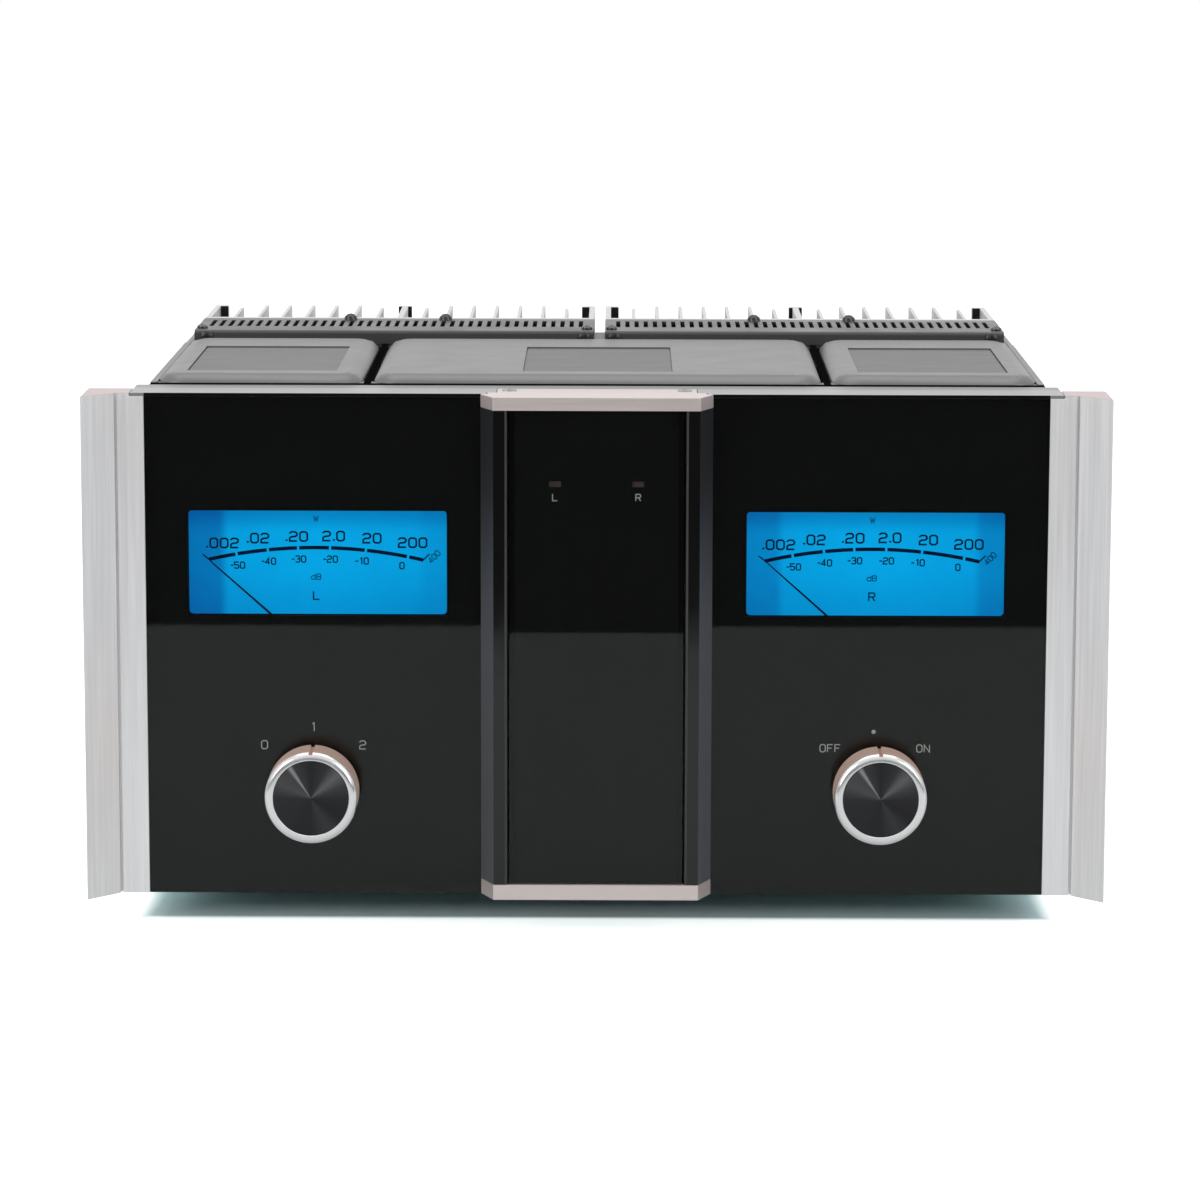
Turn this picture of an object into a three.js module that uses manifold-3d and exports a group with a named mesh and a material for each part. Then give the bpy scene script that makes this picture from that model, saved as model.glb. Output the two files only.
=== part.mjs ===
// A stereo power amplifier with two meters, two knobs, three transformer covers and finned heat sinks.
// Millimetres, x to the right seen from the front, y to the back, z up.
import * as THREE from "three";
import { mergeVertices } from "three/addons/utils/BufferGeometryUtils.js";
import Module from "manifold-3d";

// Whole amplifier
const overallWidth = 444.5;
const panelHeight = 221.5;
const footHeight = 14.5;
const chassisDepth = 257.1;
const sheetThickness = 1.5;
const fitClearance = 0.3;
const cutOverrun = 1;

// Front glass and the steel panel behind it
const endCapWidth = 25.75;
const glassWidth = overallWidth - 2 * endCapWidth;
const glassThickness = 5;
const subpanelThickness = 3;
const panelOverlap = 6;
const panelWidth = glassWidth + 2 * panelOverlap;
const chassisStep = 5.4;
const chassisWidth = panelWidth - 2 * chassisStep;

// Centre frame that stands out of the front
const frameFrontWidth = 89.6;
const frameBackWidth = 101.2;
const frameReach = 13.3;
const frameWeb = 3;
const frameFoot = 95.4;
const bezelBevel = 1.5;
const centreGlassWidth = 75.8;
const centreGlassThickness = 3;
const centreGlassRecess = 1.8;
const centreLedge = 2.7;
const topTrimHeight = 5.8;
const bottomTrimHeight = 6.8;
const tabWidth = 87;
const tabReach = 19;
const glassInner = frameFoot / 2 + fitClearance;
const glassOuter = glassWidth / 2;

// Meters
const windowInnerMargin = 17.3;
const windowOuterMargin = 18;
const windowHeight = 46.3;
const windowBottom = 123.2;
const windowInner = glassInner + windowInnerMargin;
const windowOuter = glassOuter - windowOuterMargin;
const windowWidth = windowOuter - windowInner;
const windowOffset = (windowInner + windowOuter) / 2;
const caseDepth = 26;
const caseWall = 1.5;
const caseMargin = 5.4;
const ledgeWidth = 4;
const dialSetback = 5.8;
const dialThickness = 1.2;
const dialOverlap = 3.5;
const pivotDrop = 18.9;
const pivotBelow = 11;
const needleOverreach = 6.5;
const needleLength = windowWidth / 2 + needleOverreach;
const needleWidth = 0.9;
const needleThickness = 0.6;
const needleTail = 7;
const needleSetback = 2.6;
const hubRadius = 3.4;
const hubThickness = 2.4;
const spindleRadius = 1;
const spindleLength = 15;
const bearingRadius = 4;
const needleSweep = THREE.MathUtils.degToRad(96.8);

// Indicator board behind the centre glass
const indicatorBoardWidth = 60;
const indicatorBoardHeight = 46;
const indicatorDrop = 38.2;
const indicatorOffset = 18;
const indicatorWidth = 4.9;
const indicatorTall = 2.3;
const boardThickness = 1.6;

// End caps
const capFrontReach = 15.6;
const capBackReach = 17;
const capLip = 1;
const capFlange = 13;
const capGroove = 1.1;
const capGrooveDepth = 1.8;

// Knobs and their switches
const knobShift = 2.1;
const knobOffset = windowOffset + knobShift;
const knobHeight = 46.5;
const knobRadius = 20.2;
const knobReach = 20;
const knobGap = 0.8;
const knobWall = 2.6;
const knobChamfer = 1.4;
const knobFaceThickness = 4;
const discRadius = 16.3;
const discThickness = 0.9;
const discRecess = 0.3;
const pointerWidth = 1.8;
const pointerDepth = 1.1;
const hubBossRadius = 6;
const stemRadius = 3;
const stemLength = 20;
const bushingRadius = 4.7;
const switchRadius = 14;
const switchDepth = 20;
const boreSpare = 2;

// Deck, whose front strip is as wide as the steel panel
const deckStripReach = 31;

// Transformer cans, their cores and nameplates
const hoodDepth = 56.4;
const hoodBend = 1.7;
const hoodFront = chassisDepth - hoodDepth;
const coverFront = 37;
const coverGap = 3.4;
const coverDepth = hoodFront - coverGap - coverFront;
const coverRise = 3.7;
const coverEdge = 7;
const coverCorner = 13;
const coverWall = 2;
const coverMargin = 1.8;
const coverSpacing = 3.4;
const sideCoverWidth = 92;
const centreCoverWidth = chassisWidth - 2 * (coverMargin + coverSpacing + sideCoverWidth);
const plateWidth = 66;
const plateBorder = 30.3;
const plateDepth = coverDepth - 2 * plateBorder;
const plateThickness = 0.6;
const plateRecess = 0.6;
const plateForward = 12.1;
const coreHeadroom = 111.5;
const coreHeight = panelHeight - coreHeadroom;
const coilBulge = 14;
const coilClearance = 22;
const coreDepth = coverDepth - 2 * (coverWall + coilBulge + coilClearance);
const coilDrop = 22;
const coreSideMargin = 14;

// Heat sinks
const sinkMargin = 4.4;
const sinkSpacing = 5.4;
const sinkWidth = (chassisWidth - sinkSpacing) / 2 - sinkMargin;
const sinkRise = 6.4;
const sinkBase = 6;
const finReach = 59.1;
const finThickness = 1.7;
const finEndGap = 12.58;
const finSetShift = 1.4;
const shortFinStep = 12;
const uprightThickness = 2.7;
const bossWidth = 3.8;
const middleUprightHalf = 1.5;
const middleBossWidth = 1.8;
const bossDepth = 6;
const thinFins = 7;
const finPitch = (sinkWidth / 2 - 2 * finEndGap) / (thinFins - 1);

// Lower part of the chassis, which carries the rear panel
const lowerHeight = 82;
const lowerInset = 3;
const lowerDepth = chassisDepth + sinkBase + finReach - lowerInset;

// Slotted hoods over the output devices
const slotCount = 41;
const slotWidth = 2.05;
const slotMargin = 5.3;
const slotPitch = (sinkWidth - 2 * slotMargin - slotWidth) / (slotCount - 1);
const slotLength = 27.2;
const slotSetback = 19.2;
const hoodVentMargin = 8;
const domeRadius = 3.4;
const domeRise = 3;
const domeSetback = 4.9;
const domeOuterMargin = 71.5;
const domeInnerMargin = 72.3;
const domeShares = [0, 0.35, 0.7];

// Output boards
const outputBoardMargin = 15.1;
const outputBoardWidth = sinkWidth - 2 * outputBoardMargin;
const outputBoardBottom = 96;
const outputBoardHeadroom = 15.5;
const outputBoardHeight = panelHeight - outputBoardBottom - outputBoardHeadroom;
const deviceCount = 6;
const deviceWidth = 16;
const deviceHeight = 20;
const deviceReach = 9.9;
const deviceLift = 5;
const deviceRaise = outputBoardHeight / 2 + deviceLift;
const ventBorder = 10;

// Power supply board and its capacitors
const supplyWidth = 184;
const supplyDepth = 52;
const supplyGap = 4;
const supplyFront = coverFront + coverDepth + supplyGap;
const supplyRaise = 14;
const pillarRadius = 3;
const pillarInset = 7;
const rectifierWidth = 28;
const rectifierHeight = 12;
const capacitorRadius = 25;
const capacitorHeight = 76;
const capacitorInset = 40;
const capacitorOffset = supplyWidth / 2 - capacitorInset;
const capacitorBead = 1.2;

// Feet
const footTopRadius = 22;
const footBottomRadius = 20;
const footRecessRadius = 6;
const footRecessDepth = 5;
const footInset = 27;
const footOffset = chassisWidth / 2 - footInset;
const frontFootPlace = 95;
const rearFootInset = 36;
const rearFootPlace = lowerDepth - rearFootInset;

// Sockets on the rear
const insideHalf = chassisWidth / 2 - sheetThickness;
const socketLine = lowerHeight / 2;
const terminalRoomShare = 0.4;
const terminalHalf = insideHalf * terminalRoomShare;
const inputBoardEdge = 4.5;
const inputBoardGap = 1;
const inputBoardWidth = insideHalf - inputBoardEdge - terminalHalf - inputBoardGap;
const inputBoardHeight = 66;
const inputBoardCentre = inputBoardEdge + inputBoardWidth / 2 - insideHalf;
const inputBoardSetback = 12.5;
const balancedShares = [-0.33, -0.05];
const phonoShare = 0.19;
const modeSwitchShare = 0.38;
const balancedRadius = 11.6;
const balancedBore = 9.4;
const balancedProud = 1;
const balancedDepth = 11;
const pinRadius = 1.2;
const pinSpread = 4;
const pinLength = 6;
const phonoSpacing = 24;
const phonoRadius = 4.3;
const phonoBore = 3.1;
const phonoProud = 8;
const phonoDepth = 8;
const modeBodyWidth = 20;
const modeBodyHeight = 11;
const modeSlotWidth = 11;
const modeSlotHeight = 5;
const modeSlotDepth = 8;
const leverWidth = 4.4;
const leverProud = 4.5;
const modeTravel = 5;

// Speaker terminals
const terminalCount = 8;
const terminalSpacing = (2 * terminalHalf) / terminalCount;
const terminalPlateHeight = 27;
const terminalPlateThickness = 3;
const terminalPlateLip = 4;
const terminalBodyDepth = 12;
const studRadius = 3;
const studReach = 18;
const terminalCapRadius = 7.5;
const terminalCapWaist = 6.3;
const terminalCapGap = 1;
const terminalCapLength = 20;
const terminalCapRib = 4;
const boreRunout = 2;

// Mains inlet and its fuse drawer
const inletInset = 51.5;
const inletOffset = insideHalf - inletInset;
const inletWidth = 27;
const inletHeight = 46;
const inletBodyDepth = 28;
const inletFlange = 3;
const inletFlangeThickness = 2;
const inletMouthWidth = 23;
const inletMouthHeight = 16;
const inletMouthDepth = 18;
const inletMouthDrop = 13;
const inletMouthRaise = inletHeight / 2 - inletMouthDrop;
const bladeWidth = 2;
const bladeHeight = 4;
const bladeLength = 13;
const bladeSpread = 7;
const drawerWidth = 19;
const drawerHeight = 9;
const drawerDepth = 20;
const drawerFoot = 9;
const drawerDrop = inletHeight / 2 - drawerFoot;
const drawerLip = 1.5;
const drawerLipThickness = 1.8;

// Levels and depths that several pieces share
const panelBottom = footHeight + sheetThickness;
const panelTop = panelBottom + panelHeight;
const deckTop = panelTop;
const deckBottom = deckTop - sheetThickness;
const coverTop = deckTop + coverRise;
const sinkTop = deckTop + sinkRise;
const lowerTop = panelBottom + lowerHeight;
const shelfTop = lowerTop + sheetThickness;
const subpanelBack = glassThickness + subpanelThickness;
const wallFront = chassisDepth - sheetThickness;
const rearInside = lowerDepth - sheetThickness;
const windowLevel = panelBottom + windowBottom;
const windowTop = windowLevel + windowHeight;
const pivotLevel = windowLevel - pivotDrop;
const knobLevel = panelBottom + knobHeight;
const socketLevel = panelBottom + socketLine;
const rearReach = lowerDepth + terminalPlateThickness + terminalCapGap + terminalCapLength;
const roundSteps = 40;
const smallSteps = 16;

// Materials
const finish = (color, roughness, metalness) =>
  new THREE.MeshStandardMaterial({ color, roughness, metalness });
const blackGlass = finish(0x101112, 0.06, 0);
const blackPaint = finish(0x141414, 0.55, 0);
const brushedAluminium = finish(0xc4c4c6, 0.35, 1);
const trimAluminium = finish(0xcfc6c0, 0.3, 1);
const frameBlack = finish(0x2a2c31, 0.3, 0.4);
const steel = finish(0xb4b4b4, 0.32, 1);
const coverPaint = finish(0x9c9c9c, 0.45, 0.6);
const plateMetal = finish(0x8c8c8c, 0.35, 0.8);
const hoodPaint = finish(0x808080, 0.5, 0.3);
const sinkAluminium = finish(0xc9c9c9, 0.4, 1);
const dialBlue = finish(0x00a0e6, 0.5, 0);
const caseBlack = finish(0x1b1b1c, 0.7, 0);
const needleBlack = finish(0x101820, 0.5, 0);
const knobMetal = finish(0xb7aaa0, 0.3, 1);
const discBlack = finish(0x1c1c1c, 0.25, 0.9);
const boardGreen = finish(0x1f5a36, 0.6, 0);
const coreIron = finish(0x4a4744, 0.6, 0.7);
const capacitorSleeve = finish(0x1d2a44, 0.45, 0);
const rubber = finish(0x161616, 0.85, 0);
const terminalGold = finish(0xc79a45, 0.3, 1);
const terminalPlastic = finish(0x181818, 0.5, 0);
const switchZinc = finish(0x9a9a98, 0.4, 1);

// Solids and boolean joins and cuts
const wasm = await Module();
wasm.setup();

function solid(geometry) {
  const bare = geometry.clone();
  bare.deleteAttribute("normal");
  bare.deleteAttribute("uv");
  const merged = mergeVertices(bare);
  const vertProperties = merged.attributes.position.array;
  const triVerts = new Uint32Array(merged.index.array);
  return new wasm.Manifold(new wasm.Mesh({ numProp: 3, vertProperties, triVerts }));
}

function surface(manifold) {
  const { vertProperties, triVerts } = manifold.getMesh();
  const geometry = new THREE.BufferGeometry();
  geometry.setAttribute("position", new THREE.BufferAttribute(vertProperties, 3));
  geometry.setIndex(new THREE.BufferAttribute(triVerts, 1));
  const flat = geometry.toNonIndexed();
  flat.computeVertexNormals();
  return flat;
}

function join(...pieces) {
  return surface(pieces.map(solid).reduce((whole, piece) => whole.add(piece)));
}

function cut(body, ...tools) {
  return surface(tools.map(solid).reduce((whole, tool) => whole.subtract(tool), solid(body)));
}

// Basic shapes
function block(x0, x1, y0, y1, z0, z1) {
  const box = new THREE.BoxGeometry(x1 - x0, y1 - y0, z1 - z0);
  return box.translate((x0 + x1) / 2, (y0 + y1) / 2, (z0 + z1) / 2);
}

function outline(points) {
  return new THREE.Shape(points.map(([a, b]) => new THREE.Vector2(a, b)));
}

function rectangle(a0, a1, b0, b1, Kind = THREE.Shape) {
  const corners = [[a0, b0], [a1, b0], [a1, b1], [a0, b1]];
  return new Kind(corners.map(([a, b]) => new THREE.Vector2(a, b)));
}

function disc(a, b, radius, Kind = THREE.Shape) {
  const round = new Kind();
  round.absarc(a, b, radius, 0, 2 * Math.PI);
  return round;
}

function roundedRectangle(width, depth, radius) {
  const a = width / 2 - radius;
  const b = depth / 2 - radius;
  const shape = new THREE.Shape();
  shape.absarc(a, b, radius, 0, Math.PI / 2);
  shape.absarc(-a, b, radius, Math.PI / 2, Math.PI);
  shape.absarc(-a, -b, radius, Math.PI, 1.5 * Math.PI);
  shape.absarc(a, -b, radius, 1.5 * Math.PI, 2 * Math.PI);
  return shape;
}

// An outline in x and y, drawn up along z
function upright(shape, z0, z1, curveSegments = smallSteps) {
  const drawn = new THREE.ExtrudeGeometry(shape, { depth: z1 - z0, bevelEnabled: false, curveSegments });
  return drawn.translate(0, 0, z0);
}

// An outline in x and z, drawn back along y
function facing(shape, y0, y1, curveSegments = smallSteps) {
  const drawn = new THREE.ExtrudeGeometry(shape, { depth: y1 - y0, bevelEnabled: false, curveSegments });
  return drawn.rotateX(Math.PI / 2).translate(0, y1, 0);
}

// An outline in y and z, drawn to the right along x
function sideways(shape, x0, x1) {
  const drawn = new THREE.ExtrudeGeometry(shape, { depth: x1 - x0, bevelEnabled: false });
  const turn = new THREE.Matrix4().makeBasis(
    new THREE.Vector3(0, 1, 0),
    new THREE.Vector3(0, 0, 1),
    new THREE.Vector3(1, 0, 0),
  );
  return drawn.applyMatrix4(turn).translate(x0, 0, 0);
}

// A round solid about the y axis, from radius and y pairs
function turned(profile, steps = roundSteps) {
  return new THREE.LatheGeometry(profile.map(([r, y]) => new THREE.Vector2(r, y)), steps);
}

function rod(radius, y0, y1, x = 0, z = 0, steps = smallSteps) {
  const round = new THREE.CylinderGeometry(radius, radius, y1 - y0, steps);
  return round.translate(x, (y0 + y1) / 2, z);
}

function pillar(radius, z0, z1, x = 0, y = 0, steps = smallSteps) {
  const round = new THREE.CylinderGeometry(radius, radius, z1 - z0, steps);
  return round.rotateX(Math.PI / 2).translate(x, y, (z0 + z1) / 2);
}

const amplifier = new THREE.Group();
amplifier.name = "stereo_power_amplifier";
amplifier.position.y = (knobReach - rearReach) / 2;

function add(name, geometry, material, parent = amplifier) {
  const mesh = new THREE.Mesh(geometry, material);
  mesh.name = name;
  parent.add(mesh);
  return mesh;
}

const sides = [["left", -1], ["right", 1]];

// Front glass, one sheet on each side of the centre frame
const bushingHole = bushingRadius + fitClearance;
for (const [side, sign] of sides) {
  const ends = [sign * glassInner, sign * glassOuter].sort((a, b) => a - b);
  const sheet = rectangle(...ends, panelBottom, deckBottom);
  sheet.holes.push(disc(sign * knobOffset, knobLevel, bushingHole, THREE.Path));
  add(`${side}_glass`, facing(sheet, 0, glassThickness), blackGlass);
}

// Steel panel behind the glass, with the meter windows
const subpanelSize = [-panelWidth / 2, panelWidth / 2, glassThickness, subpanelBack, panelBottom, deckBottom];
const subpanel = block(...subpanelSize);
const throughPanel = [glassThickness - cutOverrun, subpanelBack + cutOverrun];
const panelOpenings = sides.flatMap(([, sign]) => {
  const middle = sign * windowOffset;
  return [
    block(middle - windowWidth / 2, middle + windowWidth / 2, ...throughPanel, windowLevel, windowTop),
    rod(bushingHole, ...throughPanel, sign * knobOffset, knobLevel),
  ];
});
add("front_subpanel", cut(subpanel, ...panelOpenings), blackPaint);

// Centre frame with its own glass and its two trims
const frameBottom = panelBottom + bottomTrimHeight;
const frameTop = panelTop - topTrimHeight;
const frontHalf = frameFrontWidth / 2;
const backHalf = frameBackWidth / 2;
const footHalf = frameFoot / 2;
const pocketHalf = centreGlassWidth / 2 + fitClearance;
const bezelHalf = pocketHalf + bezelBevel;
const ledgeHalf = pocketHalf - centreLedge;
const centreGlassFront = centreGlassRecess - frameReach;
const centreGlassBack = centreGlassFront + centreGlassThickness;
const frameSide = [
  [footHalf, glassThickness],
  [footHalf, 0],
  [backHalf, 0],
  [frontHalf, -frameReach],
  [bezelHalf, -frameReach],
  [pocketHalf, centreGlassFront],
  [pocketHalf, centreGlassBack],
  [ledgeHalf, centreGlassBack],
  [ledgeHalf, -frameWeb],
];
const frameOtherSide = frameSide.map(([x, y]) => [-x, y]).reverse();
add("centre_frame", upright(outline([...frameSide, ...frameOtherSide]), frameBottom, frameTop), frameBlack);
add(
  "centre_glass",
  block(
    -centreGlassWidth / 2,
    centreGlassWidth / 2,
    centreGlassFront,
    centreGlassBack,
    frameBottom,
    frameTop,
  ),
  blackGlass,
);

function trim(z0, z1) {
  const half = frameSide.slice(0, 4);
  const otherHalf = half.map(([x, y]) => [-x, y]).reverse();
  return upright(outline([...half, ...otherHalf]), z0, z1);
}
const tab = block(-tabWidth / 2, tabWidth / 2, 0, tabReach, deckBottom, panelTop);
add("centre_cap_top", join(trim(frameTop, panelTop), tab), trimAluminium);
add("centre_cap_bottom", trim(panelBottom, frameBottom), trimAluminium);

// Board with the two channel indicators
const indicatorLevel = panelTop - indicatorDrop;
const indicatorBoard = block(
  -indicatorBoardWidth / 2,
  indicatorBoardWidth / 2,
  -frameWeb - boardThickness,
  -frameWeb,
  indicatorLevel - indicatorBoardHeight / 2,
  indicatorLevel + indicatorBoardHeight / 2,
);
const indicators = sides.map(([, sign]) =>
  block(
    sign * indicatorOffset - indicatorWidth / 2,
    sign * indicatorOffset + indicatorWidth / 2,
    centreGlassBack,
    -frameWeb,
    indicatorLevel - indicatorTall / 2,
    indicatorLevel + indicatorTall / 2,
  ),
);
add("indicator_board", join(indicatorBoard, ...indicators), boardGreen);

// End caps, a drawn section with a slanted flange that stands out to the front, cut out for the deck's strip
const capOuter = overallWidth / 2;
const capSlant = capOuter - capFlange;
const capSection = [
  [glassOuter, -capLip],
  [capSlant - capGroove, -capLip],
  [capSlant - capGroove, capGrooveDepth - capLip],
  [capSlant, capGrooveDepth - capLip],
  [capSlant, -capLip - capGroove],
  [capOuter, -capFrontReach],
  [capOuter, capBackReach],
  [panelWidth / 2, capBackReach],
  [panelWidth / 2, glassThickness],
  [glassOuter, glassThickness],
];
for (const [side, sign] of sides) {
  const section = outline(capSection.map(([x, y]) => [sign * x, y]));
  const seatEnds = [glassOuter - cutOverrun, panelWidth / 2 + fitClearance].map((x) => sign * x);
  seatEnds.sort((a, b) => a - b);
  const seat = block(...seatEnds, -2 * capLip, capBackReach + cutOverrun, deckBottom, panelTop + cutOverrun);
  add(`end_cap_${side}`, cut(upright(section, panelBottom, panelTop), seat), brushedAluminium);
}

// Meters: a case behind the panel, a dial on its ledges and a needle on a spindle
const caseHalf = windowWidth / 2 + caseMargin;
const caseBottom = pivotLevel - pivotBelow;
const caseTop = windowTop + caseMargin;
const caseBack = subpanelBack + caseDepth;
const dialFront = subpanelBack + dialSetback;
const ledgeFront = dialFront + dialThickness;
const needleFront = subpanelBack + needleSetback;
const spindleBack = needleFront + hubThickness + spindleLength;
const bearingFront = needleFront + hubThickness + fitClearance;
const innerCaseHalf = caseHalf - caseWall;
const innerBack = caseBack - caseWall;

function meterCase() {
  const shell = block(-caseHalf, caseHalf, subpanelBack, caseBack, caseBottom, caseTop);
  const hollow = block(
    -innerCaseHalf,
    innerCaseHalf,
    subpanelBack - cutOverrun,
    innerBack,
    caseBottom + caseWall,
    caseTop - caseWall,
  );
  const ledges = sides.map(([, sign]) => {
    const ends = [sign * (innerCaseHalf - ledgeWidth), sign * (caseHalf - caseWall / 2)];
    return block(...ends.sort((a, b) => a - b), ledgeFront, caseBack, caseBottom, caseTop);
  });
  const bearing = rod(bearingRadius, bearingFront, caseBack, 0, pivotLevel);
  const boreEnds = [bearingFront - cutOverrun, spindleBack + boreSpare];
  const bore = rod(spindleRadius + fitClearance, ...boreEnds, 0, pivotLevel);
  return cut(join(cut(shell, hollow), ...ledges, bearing), bore);
}

function dial() {
  const half = innerCaseHalf - fitClearance;
  return block(-half, half, dialFront, ledgeFront, windowLevel - dialOverlap, windowTop + dialOverlap);
}

function needle() {
  const blade = outline([
    [-needleWidth, -needleTail],
    [needleWidth, -needleTail],
    [needleWidth, 0],
    [needleWidth / 2, needleLength],
    [-needleWidth / 2, needleLength],
    [-needleWidth, 0],
  ]);
  const hub = rod(hubRadius, 0, hubThickness);
  const spindle = rod(spindleRadius, 0, hubThickness + spindleLength);
  return join(facing(blade, 0, needleThickness), hub, spindle);
}

for (const [side, sign] of sides) {
  const meter = new THREE.Group();
  meter.position.x = sign * windowOffset;
  amplifier.add(meter);
  add(`${side}_meter_case`, meterCase(), caseBlack, meter);
  add(`${side}_meter_dial`, dial(), dialBlue, meter);
  const hand = add(`${side}_meter_needle`, needle(), needleBlack, meter);
  hand.position.set(0, needleFront, pivotLevel);
  hand.rotation.y = -needleSweep / 2;
}

// Knobs: a turned shell with a pointer notch, a disc in its face and a stem into the switch
const discFront = discRecess - knobReach;
const discBack = discFront + discThickness;
const faceBack = discBack + knobFaceThickness;
const knobProfile = [
  [0, discBack],
  [discRadius + fitClearance, discBack],
  [discRadius + fitClearance, -knobReach],
  [knobRadius - knobChamfer, -knobReach],
  [knobRadius, knobChamfer - knobReach],
  [knobRadius, -knobGap],
  [knobRadius - knobWall, -knobGap],
  [knobRadius - knobWall, faceBack],
  [hubBossRadius, faceBack],
  [hubBossRadius, -knobGap],
  [stemRadius, -knobGap],
  [stemRadius, stemLength],
  [0, stemLength],
];
const notch = block(
  -pointerWidth / 2,
  pointerWidth / 2,
  -knobReach - cutOverrun,
  cutOverrun,
  knobRadius - pointerDepth,
  knobRadius + cutOverrun,
);
const switchBack = subpanelBack + switchDepth;
const switchProfile = [
  [0, stemLength + boreSpare],
  [stemRadius + fitClearance, stemLength + boreSpare],
  [stemRadius + fitClearance, 0],
  [bushingRadius, 0],
  [bushingRadius, subpanelBack],
  [switchRadius, subpanelBack],
  [switchRadius, switchBack],
  [0, switchBack],
];
for (const [name, sign] of [["meter", -1], ["power", 1]]) {
  const control = new THREE.Group();
  control.position.set(sign * knobOffset, 0, knobLevel);
  amplifier.add(control);
  add(`${name}_switch`, turned(switchProfile), switchZinc, control);
  const knob = new THREE.Group();
  control.add(knob);
  add(`${name}_knob`, cut(turned(knobProfile), notch), knobMetal, knob);
  add(`${name}_knob_disc`, rod(discRadius, discFront, discBack, 0, 0, roundSteps), discBlack, knob);
}

// Chassis tray: floor, two side walls and the wall that carries the heat sinks
const ventHalf = sinkWidth / 2 - ventBorder;
const sinkCentre = (sinkSpacing + sinkWidth) / 2;
const floor = block(-chassisWidth / 2, chassisWidth / 2, subpanelBack, lowerDepth, footHeight, panelBottom);
const wallSection = outline([
  [subpanelBack, footHeight],
  [lowerDepth, footHeight],
  [lowerDepth, lowerTop],
  [chassisDepth, lowerTop],
  [chassisDepth, deckBottom],
  [subpanelBack, deckBottom],
]);
const backWall = block(-chassisWidth / 2, chassisWidth / 2, wallFront, chassisDepth, lowerTop, deckBottom);
const throughWall = [wallFront - cutOverrun, chassisDepth + cutOverrun];
const wallOpenings = sides.map(([, sign]) => {
  const middle = sign * sinkCentre;
  const [low, high] = [lowerTop + ventBorder, deckBottom - ventBorder];
  return block(middle - ventHalf, middle + ventHalf, ...throughWall, low, high);
});
add(
  "chassis_tray",
  join(
    floor,
    sideways(wallSection, -chassisWidth / 2, -insideHalf),
    sideways(wallSection, insideHalf, chassisWidth / 2),
    cut(backWall, ...wallOpenings),
  ),
  steel,
);

// Deck with openings for the cans and the hoods, and a wider strip along the front
const sideCoverOffset = (centreCoverWidth + sideCoverWidth) / 2 + coverSpacing;
const covers = [
  ["left_output_transformer", -sideCoverOffset, sideCoverWidth],
  ["power_transformer", 0, centreCoverWidth],
  ["right_output_transformer", sideCoverOffset, sideCoverWidth],
];
const coverCentre = coverFront + coverDepth / 2;
const deck = block(-chassisWidth / 2, chassisWidth / 2, subpanelBack, chassisDepth, deckBottom, deckTop);
const strip = block(-panelWidth / 2, panelWidth / 2, 0, deckStripReach, deckBottom, deckTop);
const trimSeat = block(
  -glassInner,
  glassInner,
  -cutOverrun,
  glassThickness + fitClearance,
  deckBottom - cutOverrun,
  deckTop + cutOverrun,
);
const tabSeat = block(
  -tabWidth / 2 - fitClearance,
  tabWidth / 2 + fitClearance,
  0,
  tabReach + fitClearance,
  deckBottom - cutOverrun,
  deckTop + cutOverrun,
);
const canOpenings = covers.map(([, x, width]) =>
  upright(
    roundedRectangle(width + 2 * fitClearance, coverDepth + 2 * fitClearance, coverCorner + fitClearance),
    deckBottom - cutOverrun,
    deckTop + cutOverrun,
    4,
  ).translate(x, coverCentre, 0),
);
const hoodVents = sides.map(([, sign]) =>
  block(
    sign * sinkCentre - sinkWidth / 2 + hoodVentMargin,
    sign * sinkCentre + sinkWidth / 2 - hoodVentMargin,
    hoodFront + hoodVentMargin,
    wallFront - hoodVentMargin,
    deckBottom - cutOverrun,
    deckTop + cutOverrun,
  ),
);
add("chassis_deck", cut(join(deck, strip), trimSeat, tabSeat, ...canOpenings, ...hoodVents), steel);

// Transformer cans with rounded top edges, a nameplate in each and a core inside
function canForm(inset, low, high) {
  const edge = coverEdge - inset;
  const ground = (width) => roundedRectangle(width - 2 * inset, coverDepth - 2 * inset, coverCorner - inset);
  return (width) =>
    new THREE.ExtrudeGeometry(ground(width), {
      depth: high - edge - low,
      curveSegments: 4,
      bevelThickness: edge,
      bevelSize: edge,
      bevelOffset: -edge,
      bevelSegments: 3,
    }).translate(0, 0, low);
}
const canOutside = canForm(0, panelBottom, coverTop);
const plateSeat = coverTop - plateThickness - plateRecess;
const canInside = canForm(coverWall, panelBottom - cutOverrun, plateSeat - coverWall);

function can(width) {
  const below = block(-width, width, -coverDepth, coverDepth, panelBottom - 2 * coverEdge, panelBottom);
  const seat = block(
    -plateWidth / 2 - fitClearance,
    plateWidth / 2 + fitClearance,
    -plateForward - plateDepth / 2 - fitClearance,
    -plateForward + plateDepth / 2 + fitClearance,
    plateSeat,
    coverTop + cutOverrun,
  );
  return cut(canOutside(width), canInside(width), below, seat);
}

function core(width) {
  const stackHalf = width / 2 - coverWall - coreSideMargin / 2;
  const coreTop = panelBottom + coreHeight;
  const stack = block(-stackHalf, stackHalf, -coreDepth / 2, coreDepth / 2, panelBottom, coreTop);
  const coilHalf = stackHalf - coreSideMargin;
  const reach = coreDepth / 2 + coilBulge;
  const coil = block(-coilHalf, coilHalf, -reach, reach, panelBottom + coilDrop, coreTop - coilDrop);
  return join(stack, coil);
}

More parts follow.
